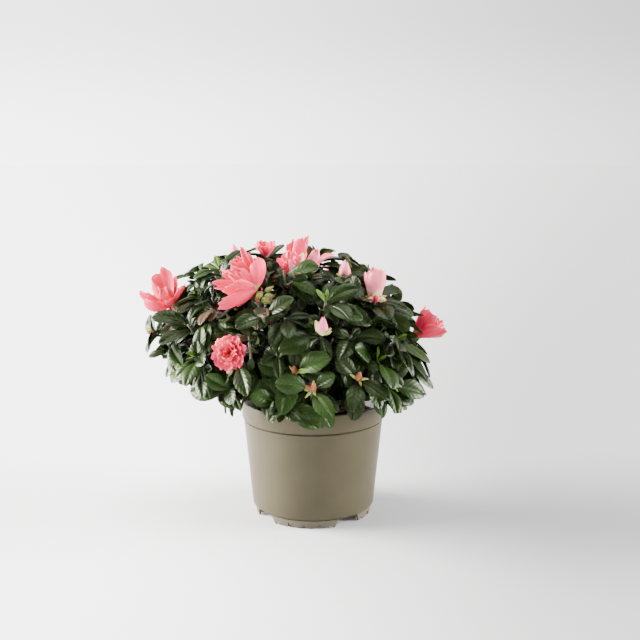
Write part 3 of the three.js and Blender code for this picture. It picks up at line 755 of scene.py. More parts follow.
def add_blades(mesh, tops, unders, coords):
    """Adds many thin blades: tops is (blades, rows, columns + 1, 3), unders its inner points."""
    blades, rows, across, _ = tops.shape
    columns = across - 1
    ring = np.concatenate([tops, unders[:, :, ::-1]], axis=2)
    ring_coords = np.concatenate([coords, coords[:, 1:-1][:, ::-1]], axis=1).reshape(-1, 2)
    faces, kinds = blade_faces(rows, columns)
    shift = np.arange(blades)[:, None, None] * rows * 2 * columns
    faces = np.where(faces < 0, NO_CORNER, faces + shift).reshape(-1, 4)
    mesh.add(ring.reshape(-1, 3), faces, np.tile(ring_coords, (blades, 1)), np.tile(kinds, blades))


# Leaf blades
LEAF_ALONG = np.array([0, 0.05, 0.1, 0.2, 0.33, 0.47, 0.6, 0.73, 0.85, 0.94, 0.985, 1.0])
LEAF_ACROSS = np.array([-1, -0.6, -0.2, 0, 0.2, 0.6, 1])
COARSE_ALONG = np.array([0, 0.08, 0.25, 0.5, 0.75, 0.93, 1.0])
COARSE_ACROSS = np.array([-1, -0.5, 0, 0.5, 1])
LEAF_THICKNESS = 0.4


def leaf_blades(rows, rng, coarse=False):
    t, v = (COARSE_ALONG, COARSE_ACROSS) if coarse else (LEAF_ALONG, LEAF_ACROSS)
    count = len(rows)
    root, way, normal = (np.array([row[key] for row in rows]) for key in ("root", "way", "normal"))
    length, width, droop = (
        np.array([row[key] for row in rows])[:, None, None] for key in ("length", "width", "droop")
    )
    bow = rng.uniform(0.02, 0.1, (count, 1, 1))
    sway = rng.uniform(-0.05, 0.05, (count, 1, 1))
    side = unit(np.cross(normal, way))
    s = t[None, :, None]
    centre = (
        root[:, None]
        + way[:, None] * length * s
        + normal[:, None] * length * 4 * bow * s * (1 - s)
        + side[:, None] * length * 4 * sway * s * (1 - s)
        - UP * droop * length * s**2
    )
    along = unit(np.gradient(centre, t, axis=1))
    across = unit(side[:, None] - along * (side[:, None] * along).sum(2, keepdims=True))
    lift = np.cross(along, across)
    twist = rng.uniform(-0.35, 0.35, (count, 1, 1)) * s
    across, lift = (
        across * np.cos(twist) + lift * np.sin(twist),
        lift * np.cos(twist) - across * np.sin(twist),
    )
    blade = np.clip((t - 0.06) / 0.94, 0, 1)[None]
    broad = rng.uniform(1.15, 1.5, (count, 1))
    profile = np.clip(np.sin(math.pi * blade**broad), 0, 1) ** (1.0 - 0.46 * blade)
    half = length[..., 0] * width[..., 0] / 2 * profile
    half = np.maximum(half, np.where(t < 0.5, 0.55, 0.12)[None])[..., None]
    fold = rng.uniform(-0.04, 0.2, (count, 1, 1))
    waves = rng.uniform(0, 2 * math.pi, (count, 1, 1))
    ripple = 0.06 * np.sin(waves + 9 * s + 2.2 * np.sign(v)) * v**2
    rise = half * (fold * np.abs(v) + 0.14 * np.sin(math.pi * np.abs(v)) + ripple)
    rise = rise - np.where(v == 0, 0.28, 0.0) * np.minimum(1, half / 4)
    tops = centre[:, :, None] + across[:, :, None] * (half * v)[..., None]
    tops = tops + lift[:, :, None] * rise[..., None]
    thick = np.where(v[1:-1] == 0, LEAF_THICKNESS + 0.35, LEAF_THICKNESS)[:, None]
    unders = tops[:, :, 1:-1] - lift[:, :, None] * thick * np.minimum(1, half / 1.5)[..., None]
    coords = np.stack(np.broadcast_arrays(t[:, None], (v[None] + 1) / 2), 2)
    return tops, unders, coords


# Petals
PETAL_GRID = (14, 21)
SMALL_GRID = (9, 11)
PETAL_THICKNESS = 0.35
# Waves of a ruffled edge: how many across the petal, and their share of the height
RUFFLES = ((0.9, 0.4), (2.2, 0.38), (3.9, 0.3))
# Waves of a ragged tip: their turns, and their size in hundredths of the length
TIP_WAVES = ((3, 5), (6.5, 4), (11, 1.5))


def turn_to(axis, compass):
    """Angle round a bloom's axis towards a compass angle: 0 is the front, 90 the right."""
    first, second = cross_axes(axis)
    way = np.array([math.sin(math.radians(compass)), -math.cos(math.radians(compass)), 0.0])
    return math.atan2(way @ second, way @ first)


def petal_end(rng, v, tip_round, ragged):
    """How far along each line of a petal runs: a rounded and slightly ragged tip."""
    rough = sum(size * np.sin(turns * v + rng.uniform(0, 6)) for turns, size in TIP_WAVES)
    return 1 - tip_round * np.abs(v) ** 2.4 + 0.01 * ragged * rough


def ruffled(rng, v, s, height):
    wave = np.zeros_like(s)
    for turns, size in RUFFLES:
        phase, drift = rng.uniform(0, 2 * math.pi), rng.uniform(-2.5, 2.5)
        wave += size * np.sin(math.pi * turns * v + phase + drift * s)
    edge = 0.32 + 0.68 * np.abs(v) ** 1.2 + 0.5 * np.clip((s - 0.75) / 0.25, 0, 1)
    return wave * edge * height * np.clip((s - 0.25) / 0.75, 0, 1) ** 1.8


def petal_skin(mesh, tops, s):
    faceway = np.cross(np.gradient(tops, axis=0), np.gradient(tops, axis=1))
    faceway /= np.maximum(np.linalg.norm(faceway, axis=2, keepdims=True), 1e-9)
    thin = PETAL_THICKNESS * np.clip(0.4 + np.linspace(0, 1, len(tops)), 0, 1)[:, None, None]
    unders = tops[:, 1:-1] - faceway[:, 1:-1] * thin
    across = np.linspace(0, 1, s.shape[1])[None]
    coords = np.stack([s, np.broadcast_to(across, s.shape)], 2)
    add_blades(mesh, tops[None], unders[None], coords)


def petal(mesh, base, axis, rng, turn, length, width, inner, outer, ruffle, wrap=(1.1, 0.3),
          foot=1.5, lift=0.0, curl=1.5, claw=0.26, tip_round=0.26, sweep=0.0):
    """One petal: it leaves the axis at the inner angle, ends at the outer one, and wraps in."""
    first, second = cross_axes(axis)
    radial = first * math.cos(turn) + second * math.sin(turn)
    side = np.cross(axis, radial)
    v = np.linspace(-1, 1, mesh.grid[1])[None]
    t = 1 - (1 - np.linspace(0, 1, mesh.grid[0])) ** 1.2
    s = t[:, None] * petal_end(rng, v, tip_round, min(1.0, ruffle))
    fine = np.linspace(0, 1.2, 49)
    slope = np.radians(inner + (outer - inner) * fine**curl)
    step = fine[1]
    out = foot + length * np.concatenate([[0], np.cumsum(np.sin(slope[:-1]) * step)])
    rise = lift + length * np.concatenate([[0], np.cumsum(np.cos(slope[:-1]) * step)])
    r, h, lean = (np.interp(s, fine, line) for line in (out, rise, slope))
    swell = claw + (1 - claw) * np.sin(math.pi / 2 * np.minimum(s / 0.68, 1)) ** 1.25
    half = width / 2 * swell * np.sqrt(1 - 0.35 * np.clip((s - 0.7) / 0.3, 0, 1) ** 2)
    wrapped = wrap[0] + (wrap[1] - wrap[0]) * np.clip(s / 0.8, 0, 1)
    x = half * np.sin(v * wrapped) / wrapped + sweep * length * s**2
    inward = half * (1 - np.cos(v * wrapped)) / wrapped
    crease = 0.4 * np.exp(-((v / 0.12) ** 2)) * np.clip(s * 3, 0, 1) * (1 - 0.6 * s)
    proud = ruffled(rng, v, s, ruffle) - crease - inward
    r = r + proud * np.cos(lean)
    h = h - proud * np.sin(lean)
    tops = base + r[..., None] * radial + x[..., None] * side + h[..., None] * axis
    petal_skin(mesh, tops, s)


def shell(mesh, base, axis, rng, turn, span, height, radius, opened, ruffle, lift,
          tip_round=0.4):
    """One petal or scale of a bud: it hugs the bud's round body, as far up as it is closed."""
    first, second = cross_axes(axis)
    v = np.linspace(-1, 1, mesh.grid[1])[None]
    t = np.linspace(0, 1, mesh.grid[0])
    s = t[:, None] * petal_end(rng, v, tip_round, 0.5 * min(1.0, ruffle))
    closed = np.sin(math.pi * (0.14 + 0.85 * np.clip(s, 0, 1) ** 0.78)) ** 0.95
    wide = 0.32 + 0.68 * np.sin(math.pi / 2 * np.clip(s / 0.6, 0, 1)) ** 1.2
    r = radius * (closed * (1 - opened) + wide * opened) + ruffled(rng, v, s, ruffle)
    slip = 0.06 * radius * v
    angle = turn + v * span / 2 * np.clip(0.6 + 1.3 * s, 0, 1)
    r = np.maximum(r + slip, 0.15)
    ring = np.cos(angle)[..., None] * first + np.sin(angle)[..., None] * second
    tops = base + ring * r[..., None] + (lift + height * s)[..., None] * axis
    petal_skin(mesh, tops, s)


# Rows of petals: how many, length, width, slope at foot and end, spread of that slope, ruffle
BLOOM_ROWS = {
    "cup": [(5, 33, 24, 56, 30, 14, 2.0), (5, 28, 20, 40, 22, 10, 2.4),
            (5, 21, 15, 24, 16, 8, 2.4)],
    "half": [(5, 32, 22, 48, 14, 10, 1.8), (4, 28, 18, 32, 10, 8, 2.2),
             (4, 21, 13, 18, 8, 6, 2.0)],
    "double": [(6, 20, 20, 42, 98, 14, 3.1), (6, 18, 18, 30, 72, 16, 3.4),
               (5, 16, 16, 18, 48, 16, 3.3), (3, 13, 12, 6, 26, 10, 2.8)],
    "open": [(6, 33, 27, 52, 88, 12, 2.7), (6, 28, 22, 36, 66, 12, 2.9),
             (6, 21, 16, 20, 42, 10, 2.7), (4, 15, 11, 8, 22, 6, 2.2)],
    "small": [(5, 17, 13, 46, 24, 12, 1.9), (4, 14, 10, 28, 16, 8, 1.6)],
}
# How a kind's petals bend, and how wide their foot is
BENDS = {"cup": 0.7, "half": 0.6, "double": 1.6, "open": 1.3, "small": 0.6}
FEET_WIDE = {"cup": 0.5, "half": 0.5, "double": 0.3, "open": 0.32, "small": 0.45, "F": 0.75}
# Petals set one by one, as the photo shows them: where the tip stands from the base (right, up,
# near), width, arch in degrees, the way the petal's back faces, ruffle, wrap, outer or inner
SET_PETALS = {
    "A": [((-9, 32, -6), 22, 22, (0.1, 0.2, -1), 2.2, 0.5, "outer"),
          ((3, 25, -4), 14, 22, (0.6, 0.2, -0.8), 1.6, 0.6, "outer"),
          ((-24, 14, 4), 10, 35, (-0.3, -0.1, 0.95), 1.4, 0.7, "outer"),
          ((-20, 6, 9), 14, 52, (-0.1, -0.5, 0.86), 1.0, 0.8, "outer"),
          ((16, 21, 3), 8, 12, (0.6, -0.3, 0.6), 0.8, 1.5, "outer"),
          ((-4, 17, 5), 15, 30, (0, 0.1, 0.95), 2.4, 0.5, "inner"),
          ((3, 9.5, 8), 12, 40, (0.5, -0.3, 0.8), 1.2, 0.7, "outer"),
          ((-13, 20, 1), 13, 25, (-0.6, 0.3, 0.4), 2.4, 0.5, "inner"),
          ((6, 16, -6), 13, 30, (0.7, -0.1, -0.6), 1.8, 0.6, "inner"),
          ((-14, 12, -8), 15, 40, (-0.5, -0.3, -0.9), 1.6, 0.6, "outer")],
    "B": [((-1, 25, 5), 17, 50, (0.5, 0.05, 0.86), 0.5, 0.9, "outer"),
          ((-14, 34, -7), 8, 14, (-0.3, 0.3, -0.9), 0.8, 1.4, "outer"),
          ((-7, 29, -6), 8, 14, (0.3, 0.2, -0.9), 0.8, 1.2, "outer"),
          ((-19.5, 21, 0), 14, 25, (-0.6, 0.6, -0.4), 2.6, 0.4, "outer"),
          ((-30, 11, 0), 15, 20, (-0.3, 0.7, -0.6), 2.8, 0.3, "outer"),
          ((-38, 2.5, -3), 10, 12, (0, -0.2, -0.9), 1.6, 0.6, "outer"),
          ((-32, -16, 9), 12, 22, (0.1, -0.3, 0.95), 1.4, 0.5, "outer"),
          ((-21, -15, 2), 13, 24, (0.2, -0.7, 0.3), 2.4, 0.5, "inner"),
          ((-15, 16, 8), 12, 30, (-0.2, -0.3, 0.9), 2.6, 0.4, "outer"),
          ((-24, 14, 6), 12, 25, (-0.2, 0.3, 0.9), 3.0, 0.4, "inner"),
          ((-19, 5, 11), 12, 30, (0, -0.4, 0.9), 2.8, 0.4, "outer"),
          ((-28, -1, 6), 12, 20, (0.1, -0.5, 0.85), 2.6, 0.4, "inner"),
          ((-10, 9, 7), 12, 26, (0, 0.3, 0.9), 2.4, 0.5, "inner"),
          ((-6, 20, -10), 16, 25, (0.3, 0, -1), 1.5, 0.6, "outer"),
          ((-17, 24, -8), 14, 22, (-0.3, 0.3, -1), 2.0, 0.5, "inner"),
          ((-20, -2, -10), 17, 25, (-0.2, -0.5, -0.9), 2.0, 0.5, "outer")],
    "C": [((7.5, 33.5, 0), 15, 14, (0.2, 0.1, 0.97), 0.8, 0.6, "outer"),
          ((12.5, 36, -2), 8, 8, (0.5, 0, 0.8), 1.2, 0.8, "outer"),
          ((-2, 30, -4), 14, 15, (-0.2, 0.2, -0.95), 1.8, 0.6, "outer"),
          ((-12.5, 17, 2), 15, 30, (-0.6, 0.2, 0.75), 2.4, 0.5, "outer"),
          ((-12, 7.5, 6), 12, 35, (-0.3, -0.3, 0.9), 1.8, 0.6, "outer"),
          ((-3, 22, 5), 14, 22, (-0.1, 0.1, 0.95), 2.2, 0.5, "inner"),
          ((6, 18, 6), 13, 30, (0.3, -0.1, 0.9), 1.5, 0.6, "outer"),
          ((-6, 13, 8), 13, 35, (-0.1, -0.3, 0.95), 2.4, 0.5, "inner"),
          ((8, 24, -6), 15, 22, (0.4, 0, -0.9), 1.4, 0.6, "outer"),
          ((-8, 20, -6), 15, 28, (-0.5, 0, -0.85), 1.8, 0.6, "inner")],
    "F": [((-1, 25, 5), 19, 22, (0, -0.1, 1), 1.2, 0.7, "pale"),
          ((-6, 23, 0), 15, 26, (-0.8, 0, 0.55), 1.2, 0.8, "pale"),
          ((6, 24, 0), 15, 26, (0.85, 0, 0.5), 1.3, 0.8, "pale"),
          ((-2, 25, -5), 17, 22, (-0.2, 0, -1), 1.6, 0.7, "pale"),
          ((4, 24, -4), 15, 24, (0.6, 0, -0.8), 1.6, 0.7, "pale"),
          ((0, 23, 1), 14, 15, (0.3, 0, 0.9), 2.0, 0.6, "pale"),
          ((-3, 24, -1), 13, 15, (-0.6, 0, -0.4), 2.0, 0.6, "pale")],
}
# Small buds beside a bloom: kind, compass, height angle, stalk, length, radius
SIDE_BUDS = {
    "A": [("rose", 60, -50, 6, 12, 3.8), ("green", 50, 40, 1, 6, 1.9),
          ("green", 120, 12, 1, 6, 1.7)],
    "B": [("green", 30, 30, 1, 10, 2.7), ("green", 75, -22, 4, 10, 2.6),
          ("green", 88, 4, 6, 9, 2.4),
          ("green", 110, 30, 8, 9, 1.9), ("scale", 10, -26, 1, 6, 2.0)],
    "C": [("cream", 60, 62, 7, 13, 3.8), ("pale", 335, 52, 2, 14, 4.2),
          ("green", 30, 0, 1, 7, 1.6)],
    "CC": [("green", 60, -5, 1, 6, 1.7), ("scale", 10, 10, 0, 5, 1.7)],
    "D": [("cream", 345, -66, 12, 8, 2.8), ("green", 270, -30, 2, 7, 1.7)],
    "E": [("green", 300, 30, 1, 6, 1.5)],
    "F": [("rose", 8, 8, 3, 7, 2.8), ("pale", 325, 4, 4, 7, 2.4), ("cream", 50, 0, 4, 7, 2.4),
          ("green", 85, 16, 2, 8, 1.6), ("green", 285, 16, 2, 8, 1.5)],
    "G": [("cream", 260, 62, 1, 12, 3.2), ("green", 50, 20, 2, 9, 1.8),
          ("green", 110, 30, 1, 8, 1.6)],
    "H": [("green", 70, 30, 1, 6, 1.6), ("green", 280, 20, 1, 6, 1.4)],
    "I": [("scale", 285, 30, 2, 6, 2.0), ("green", 300, -40, 1, 8, 1.0),
          ("green", 45, -48, 1, 7, 0.9),
          ("green", 20, 70, 1, 8, 0.9)],
    "J": [("scale", 250, 10, 1, 5, 1.7), ("green", 60, 30, 1, 7, 1.0),
          ("green", 300, 48, 1, 7, 0.9)],
    "K": [("green", 60, 10, 1, 8, 1.0), ("green", 290, 32, 1, 8, 1.0),
          ("green", 20, -35, 1, 6, 0.9)],
    "L": [("green", 250, 30, 1, 7, 1.1)],
}
# A bloom's own stalk, from its shoot's tip, where it has one
STALKS = {"B": np.array([0.5, -3.5, 9.0]), "CC": np.array([2.0, -3.0, -3.0])}
# Kinds and sizes that the scene changes, by a shoot's name or its place on the spiral
SCENE_KINDS = {"E": "small", "CC": "opening", 45: "bud"}
SCENE_SCALES = {"D": 0.82, "E": 0.9, "G": 1.08}
SLIM_BUDS = {"G": 0.78}
# Height and radius of the three kinds of bud, and how far round one of their petals or scales goes
CONE_SIZE = (8.5, 2.7)
BUD_SIZE = (15.5, 5.0)
OPENING_SIZE = (22, 6.4)
BUD_SPAN = 2.4
CONE_SPAN = 2.3
CONE_SCALES = 13


def set_petal(meshes, base, rng, scale, claw, row):
    (right, up, near), width, arch, (back_right, back_up, back_near), ruffle, wrap, key = row
    way = np.array([right, -near, up], float)
    back = np.array([back_right, -back_near, back_up], float)
    axis, arch = unit(way), arch + rng.uniform(-3, 3)
    first, second = cross_axes(axis)
    length = np.linalg.norm(way) * math.radians(arch) / math.sin(math.radians(arch))
    petal(
        meshes[key], base, axis, rng, math.atan2(back @ second, back @ first), scale * length,
        scale * width, arch, -arch, scale * ruffle, wrap=(1.2, wrap), foot=0.8, curl=1.0,
        claw=claw, tip_round=0.42 if wrap >= 1 else 0.15, sweep=rng.uniform(-0.06, 0.06),
    )


def bloom(meshes, shoot, scale, rng):
    """A bloom of loose petals: rows of its kind, or the petals set one by one."""
    name, shape = shoot.get("name"), shoot["kind"]
    base = shoot["tip"] + STALKS.get(name, 0)
    if name in SET_PETALS:
        for row in SET_PETALS[name]:
            set_petal(meshes, base, rng, scale, FEET_WIDE.get(name, 0.5), row)
        return
    axis = AXES.get(name, shoot["way"])
    start = rng.uniform(0, 2 * math.pi)
    for rank, (count, length, width, inner, outer, spread, ruffle) in enumerate(BLOOM_ROWS[shape]):
        for i in range(count):
            turn = start + 2 * math.pi * (i + 0.5 * (rank % 2)) / count + rng.uniform(-0.22, 0.22)
            petal(
                meshes["inner" if rank else "outer"], base, axis, rng, turn,
                scale * length * rng.uniform(0.88, 1.08), scale * width * rng.uniform(0.9, 1.1),
                inner + rng.uniform(-3, 3), outer + rng.uniform(-spread, spread),
                scale * ruffle * rng.uniform(0.85, 1.2), wrap=(1.2, 0.4),
                foot=1.2 if rank else 1.6,
                curl=BENDS[shape] * rng.uniform(0.85, 1.2), claw=FEET_WIDE[shape],
                lift=0.5 if rank else 0.0, sweep=rng.uniform(-0.1, 0.1),
            )


def bud(mesh, base, axis, rng, height, radius, count, opened, ruffle):
    """Petals or scales that overlap round a bud, the inner ones first and the tallest."""
    start = rng.uniform(0, 2 * math.pi)
    for i in range(count):
        share = i / max(1, count - 1)
        shell(
            mesh, base, axis, rng, start + i * GOLDEN_ANGLE, BUD_SPAN,
            height * (1 - 0.22 * share * (1 - opened)) * rng.uniform(0.94, 1.04),
            radius * (0.86 + 0.14 * share), opened, ruffle, -0.3,
        )


def cone(mesh, base, axis, rng, height, radius):
    """A resting bud in short scales, one turn of the spiral after another."""
    start = rng.uniform(0, 2 * math.pi)
    for i in range(CONE_SCALES):
        share = i / (CONE_SCALES - 1)
        shell(mesh, base, axis, rng, start + i * GOLDEN_ANGLE, CONE_SPAN,
              height * (1 - 0.55 * share), radius * (0.8 + 0.26 * share), 0.0, 0.0, -0.4, 0.55)


def side_bud(meshes, twig_mesh, shoot, rng, kind, compass, height_angle, stalk, length, radius):
    rise = math.radians(height_angle)
    way = unit([math.sin(math.radians(compass)) * math.cos(rise),
                -math.cos(math.radians(compass)) * math.cos(rise), math.sin(rise)])
    base = shoot["tip"] + way * (stalk + 0.6)
    path = np.array([shoot["tip"] - way * 0.4, shoot["tip"] + way * stalk * 0.5, base + way * 0.8])
    tube(twig_mesh, path, [0.75, 0.7, 0.85], kind=1)
    if kind == "scale":
        cone(meshes["scale"], base, way, rng, length, radius)
    else:
        bud(meshes[kind], base, way, rng, length, radius, 6, 0.12 if kind == "rose" else 0.0,
            0.5 if kind == "rose" else 0.0)


# Limbs and twigs
def tube(mesh, path, radii, sides=8, relief=0, kind=0):
    """A closed round limb; relief is a share of the radius for each point of the skin."""
    way = unit(np.gradient(path, axis=0))
    first = [cross_axes(way[0])[0]]
    for w in way:
        first.append(unit(first[-1] - w * (first[-1] @ w)))
    first = np.array(first[1:])
    angle = (2 * math.pi * np.arange(sides) / sides)[:, None]
    ring = np.cos(angle) * first[:, None] + np.sin(angle) * np.cross(way, first)[:, None]
    radius = np.asarray(radii, float)[:, None] * (1 + relief * np.ones(sides))
    share = np.broadcast_arrays(np.linspace(0, 1, len(path))[:, None], np.arange(sides) / sides)
    mesh.add_turned(path[:, None] + ring * radius[..., None], (path[0], path[-1]),
                    np.stack(share, 2), kind, ((0, 0), (1, 0)))


def bark_relief(rows, sides, rng, depth):
    """Ridges along the limb, with finer cracks over them."""
    coarse = rng.normal(0, 1, (rows // 6 + 2, sides))
    at = np.linspace(0, len(coarse) - 1, rows)
    low = np.floor(at).astype(int).clip(0, len(coarse) - 2)
    ridges = lerp(coarse[low], coarse[low + 1], (at - low)[:, None])
    return depth * (0.7 * ridges + 0.35 * rng.normal(0, 1, (rows, sides)))


def grow_limbs(rng):
    limbs = Mesh()
    share = np.linspace(0, 1, STEM_GRID[0]) ** 1.2
    knots = 1 + 0.05 * np.sin(share * 31) * (share > 0.1)
    tube(limbs, stem_point(share), stem_radius(share) * knots, STEM_GRID[1],
         bark_relief(*STEM_GRID, rng, 0.035))
    share = np.linspace(0, 1, BOUGH_GRID[0])
    radii = lerp(BOUGH_ROOT_RADIUS, BOUGH_TIP_RADIUS, share) * (1 + 0.5 * np.exp(-share / 0.06))
    for bough in BOUGHS.values():
        tube(limbs, bezier(*bough, share), radii, BOUGH_GRID[1],
             bark_relief(*BOUGH_GRID, rng, 0.045))
    return limbs


def grow_twig_mesh(rng):
    twigs = Mesh()
    for joint, knee, tip, thick, thin, age in twig_lines:
        enter, leave = lerp(joint, knee, 0.86), lerp(knee, tip, 0.5)
        bend = bezier(enter, knee, leave, np.linspace(0, 1, 5))
        path = np.vstack([between(joint, enter, 3)[:-1], bend, tip])
        tube(twigs, path, np.linspace(thick, thin, len(path)), 8,
             bark_relief(len(path), 8, rng, 0.03), int(age == "young"))
    return twigs


# Finishes
class Signal:
    """A value in a node tree: arithmetic on it adds the nodes that work it out."""

    def __init__(self, tree, socket):
        self.tree, self.socket = tree, socket

    def calc(self, operation, other=0.0):
        return add_node(self.tree, "Math", {"operation": operation}, i0=self, i1=other)

    def __add__(self, other):
        return self.calc("ADD", other)

    def __sub__(self, other):
        return self.calc("SUBTRACT", other)

    def __mul__(self, other):
        return self.calc("MULTIPLY", other)

    def __truediv__(self, other):
        return self.calc("DIVIDE", other)

    def __abs__(self):
        return self.calc("ABSOLUTE")

    def step(self, low, high, start=0.0, end=1.0):
        return add_node(self.tree, "MapRange", {"interpolation_type": "SMOOTHSTEP"}, i0=self,
                        i1=low, i2=high, i3=start, i4=end)

    def blend(self, a, b):
        """The colour that lies this share of the way from one to the other."""
        return add_node(self.tree, "Mix", {"data_type": "RGBA"}, 2, i0=self, i6=a, i7=b)

    def noise(self, scale, detail=3.0, rough=0.55):
        return add_node(self.tree, "TexNoise", None, "Fac", Vector=self, Scale=scale,
                        Detail=detail, Roughness=rough)

    def mapped(self, scale):
        return add_node(self.tree, "Mapping", Vector=self, Scale=scale)

    def bump(self, strength, distance):
        return add_node(self.tree, "Bump", Height=self, Strength=strength, Distance=distance)

    def split(self):
        made = add_node(self.tree, "SeparateXYZ", Vector=self)
        return [Signal(self.tree, socket) for socket in made.socket.node.outputs]


def add_node(tree, kind, settings=None, output=0, **inputs):
    """Inputs go by their name or, as in i2, by their number; each is a value or a signal."""
    made = tree.nodes.new("ShaderNode" + kind)
    for key, value in (settings or {}).items():
        setattr(made, key, value)
    for key, value in inputs.items():
        socket = made.inputs[int(key[1:]) if key[1:].isdigit() else key]
        if isinstance(value, Signal):
            tree.links.new(value.socket, socket)
        else:
            socket.default_value = value
    return Signal(tree, made.outputs[output])


def finish(name, color, roughness, sockets=None):
    """A material with its shader and the place on the object as a signal."""
    material = bpy.data.materials.new(name)
    material.use_nodes = True
    tree = material.node_tree
    shader = tree.nodes["Principled BSDF"]
    shader.inputs["Base Color"].default_value = (*color, 1)
    shader.inputs["Roughness"].default_value = roughness
    for key, value in (sockets or {}).items():
        shader.inputs[key].default_value = value
    return material, shader, add_node(tree, "TexCoord", None, "Object")


def wire(shader, **signals):
    for key, signal in signals.items():
        signal.tree.links.new(signal.socket, shader.inputs[key.replace("_", " ")])


def rgba(color, gain=1.0):
    return (*[min(1.0, c * gain) for c in color], 1.0)


def along(tree):
    """How far up the piece, how far from its middle line, and both sides' coordinates."""
    where = add_node(tree, "UVMap", {"uv_map": "along"})
    u, v, _ = where.split()
    return u, abs(v - 0.5) * 2.0, where


def leaf_finish(name, color, vein_color, roughness, vein_depth):
    material, shader, place = finish(name, color, roughness, {
        "Specular IOR Level": 0.19, "Specular Tint": (0.86, 1.0, 0.66, 1.0),
    })
    u, off, _ = along(place.tree)
    midrib = off.step(0.02, 0.12, 1.0, 0.0)
    count = u * 8.0 - off * 1.9 + place.noise(140.0, 2.0) * 0.5
    swing = (count * (2 * math.pi)).calc("COSINE")
    height = midrib * -1.2 + swing * -0.5 + place.noise(900.0) * 0.4
    patches = place.noise(55.0, 2.0).step(0.3, 0.7).blend(rgba(color, 0.7), rgba(color, 1.3))
    veins = midrib * 0.55 + swing.step(0.6, 1.0) * 0.2
    veins = veins.calc("MAXIMUM", off.step(0.93, 1.0) * 0.3)
    gloss = place.noise(90.0, 4.0).step(0.3, 0.75, roughness - 0.07, roughness + 0.13)
    wire(shader, Base_Color=veins.blend(patches, rgba(vein_color)), Roughness=gloss,
         Normal=height.bump(0.26 * vein_depth, 0.0005))
    return material


def petal_finish(name, color, edge, foot, foot_reach, edge_share):
    material, shader, place = finish(name, color, 0.5, {
        "Subsurface Weight": 0.2, "Subsurface Radius": (1.0, 0.3, 0.35),
        "Subsurface Scale": 0.002, "Sheen Weight": 0.08, "Sheen Roughness": 0.5,
        "Specular IOR Level": 0.3,
    })
    u, off, where = along(place.tree)
    streaks = where.mapped((2.2, 17.0, 1.0)).noise(3.0, 4.0)
    body = streaks.step(0.3, 0.75).blend(rgba(color, 0.82), rgba(color, 1.1))
    tip = (u * 0.75 + off * 0.32 + streaks * 0.16).step(0.72, 1.18, 0.0, edge_share)
    low = u.step(0.04, foot_reach, 1.0, 0.0)
    height = streaks * 0.7 + place.noise(260.0) * 0.6
    wire(shader, Base_Color=low.blend(tip.blend(body, rgba(edge)), rgba(foot)),
         Normal=height.bump(0.5, 0.0006))
    return material


def plain_finish(name, color, roughness, scale, contrast, strength, depth,
                 stretch=(1.0, 1.0, 1.0), other=None):
    """Two tones of noise with a bump of the same grain, for bark, soil, plastic and the rest."""
    material, shader, place = finish(name, color, roughness)
    mapped = place.mapped(stretch)
    grain = mapped.noise(scale, 5.0, 0.6)
    mixed = grain * 0.6 + mapped.noise(scale / 9, 2.0) * 0.4
    shade = mixed.step(0.32, 0.68).blend(rgba(color, 1 - contrast),
                                         rgba(other or color, 1 + contrast))
    gloss = grain.step(0.25, 0.75, roughness - 0.06, roughness + 0.06)
    wire(shader, Base_Color=shade, Roughness=gloss, Normal=grain.bump(strength, depth))
    return material


def pot_finish(name, color, skirt_color):
    """Satin plastic, with painted shade in its two seam grooves, and lighter on the skirt."""
    material, shader, place = finish(name, color, 0.4, {"Specular IOR Level": 0.1})
    u = along(place.tree)[0]
    grain = place.noise(700.0, 4.0)
    shade = place.noise(34.0, 2.0).step(0.3, 0.7).blend(rgba(color, 0.96), rgba(color, 1.04))
    # Painted shade: a dark band along the groove under the rim band and along the seam above the
    # skirt, where shade falls in the recess
    for height, reach, share in ((POT_HEIGHT - RIM_BAND - 0.5, 0.011, 0.55),
                                 (BASE_HEIGHT + 0.35, 0.007, 0.5)):
        off = abs(u - height / POT_HEIGHT)
        shade = off.step(0.4 * reach, reach, share, 0.0).blend(shade, rgba(color, 0.12))
    shade = u.step(0.062, 0.07, 0.55, 0.0).blend(shade, rgba(skirt_color))
    wire(shader, Base_Color=shade, Roughness=grain.step(0.25, 0.75, 0.36, 0.46),
         Normal=grain.bump(0.1, 0.00012))
    return material


# Pot
def skirt_cuts():
    """Gaps and notches: centre in degrees, half width at the top, slope and height."""
    sector = 360 / FEET
    cuts = []
    for gap in range(FEET):
        middle = FIRST_GAP_FROM_FRONT + gap * sector
        cuts.append((middle, GAP_TOP_WIDTH / 2, GAP_FOOT_WIDTH / 2, GAP_HEIGHT))
        for i in range(5):
            half, tall = NOTCHES[i % 2]
            cuts.append((middle - sector / 2 + (i - 2) * NOTCH_SPACING, half * 0.7, half, tall))
    return [(centre, narrow, (tall + 1) / (broad - narrow), tall)
            for centre, narrow, broad, tall in cuts]


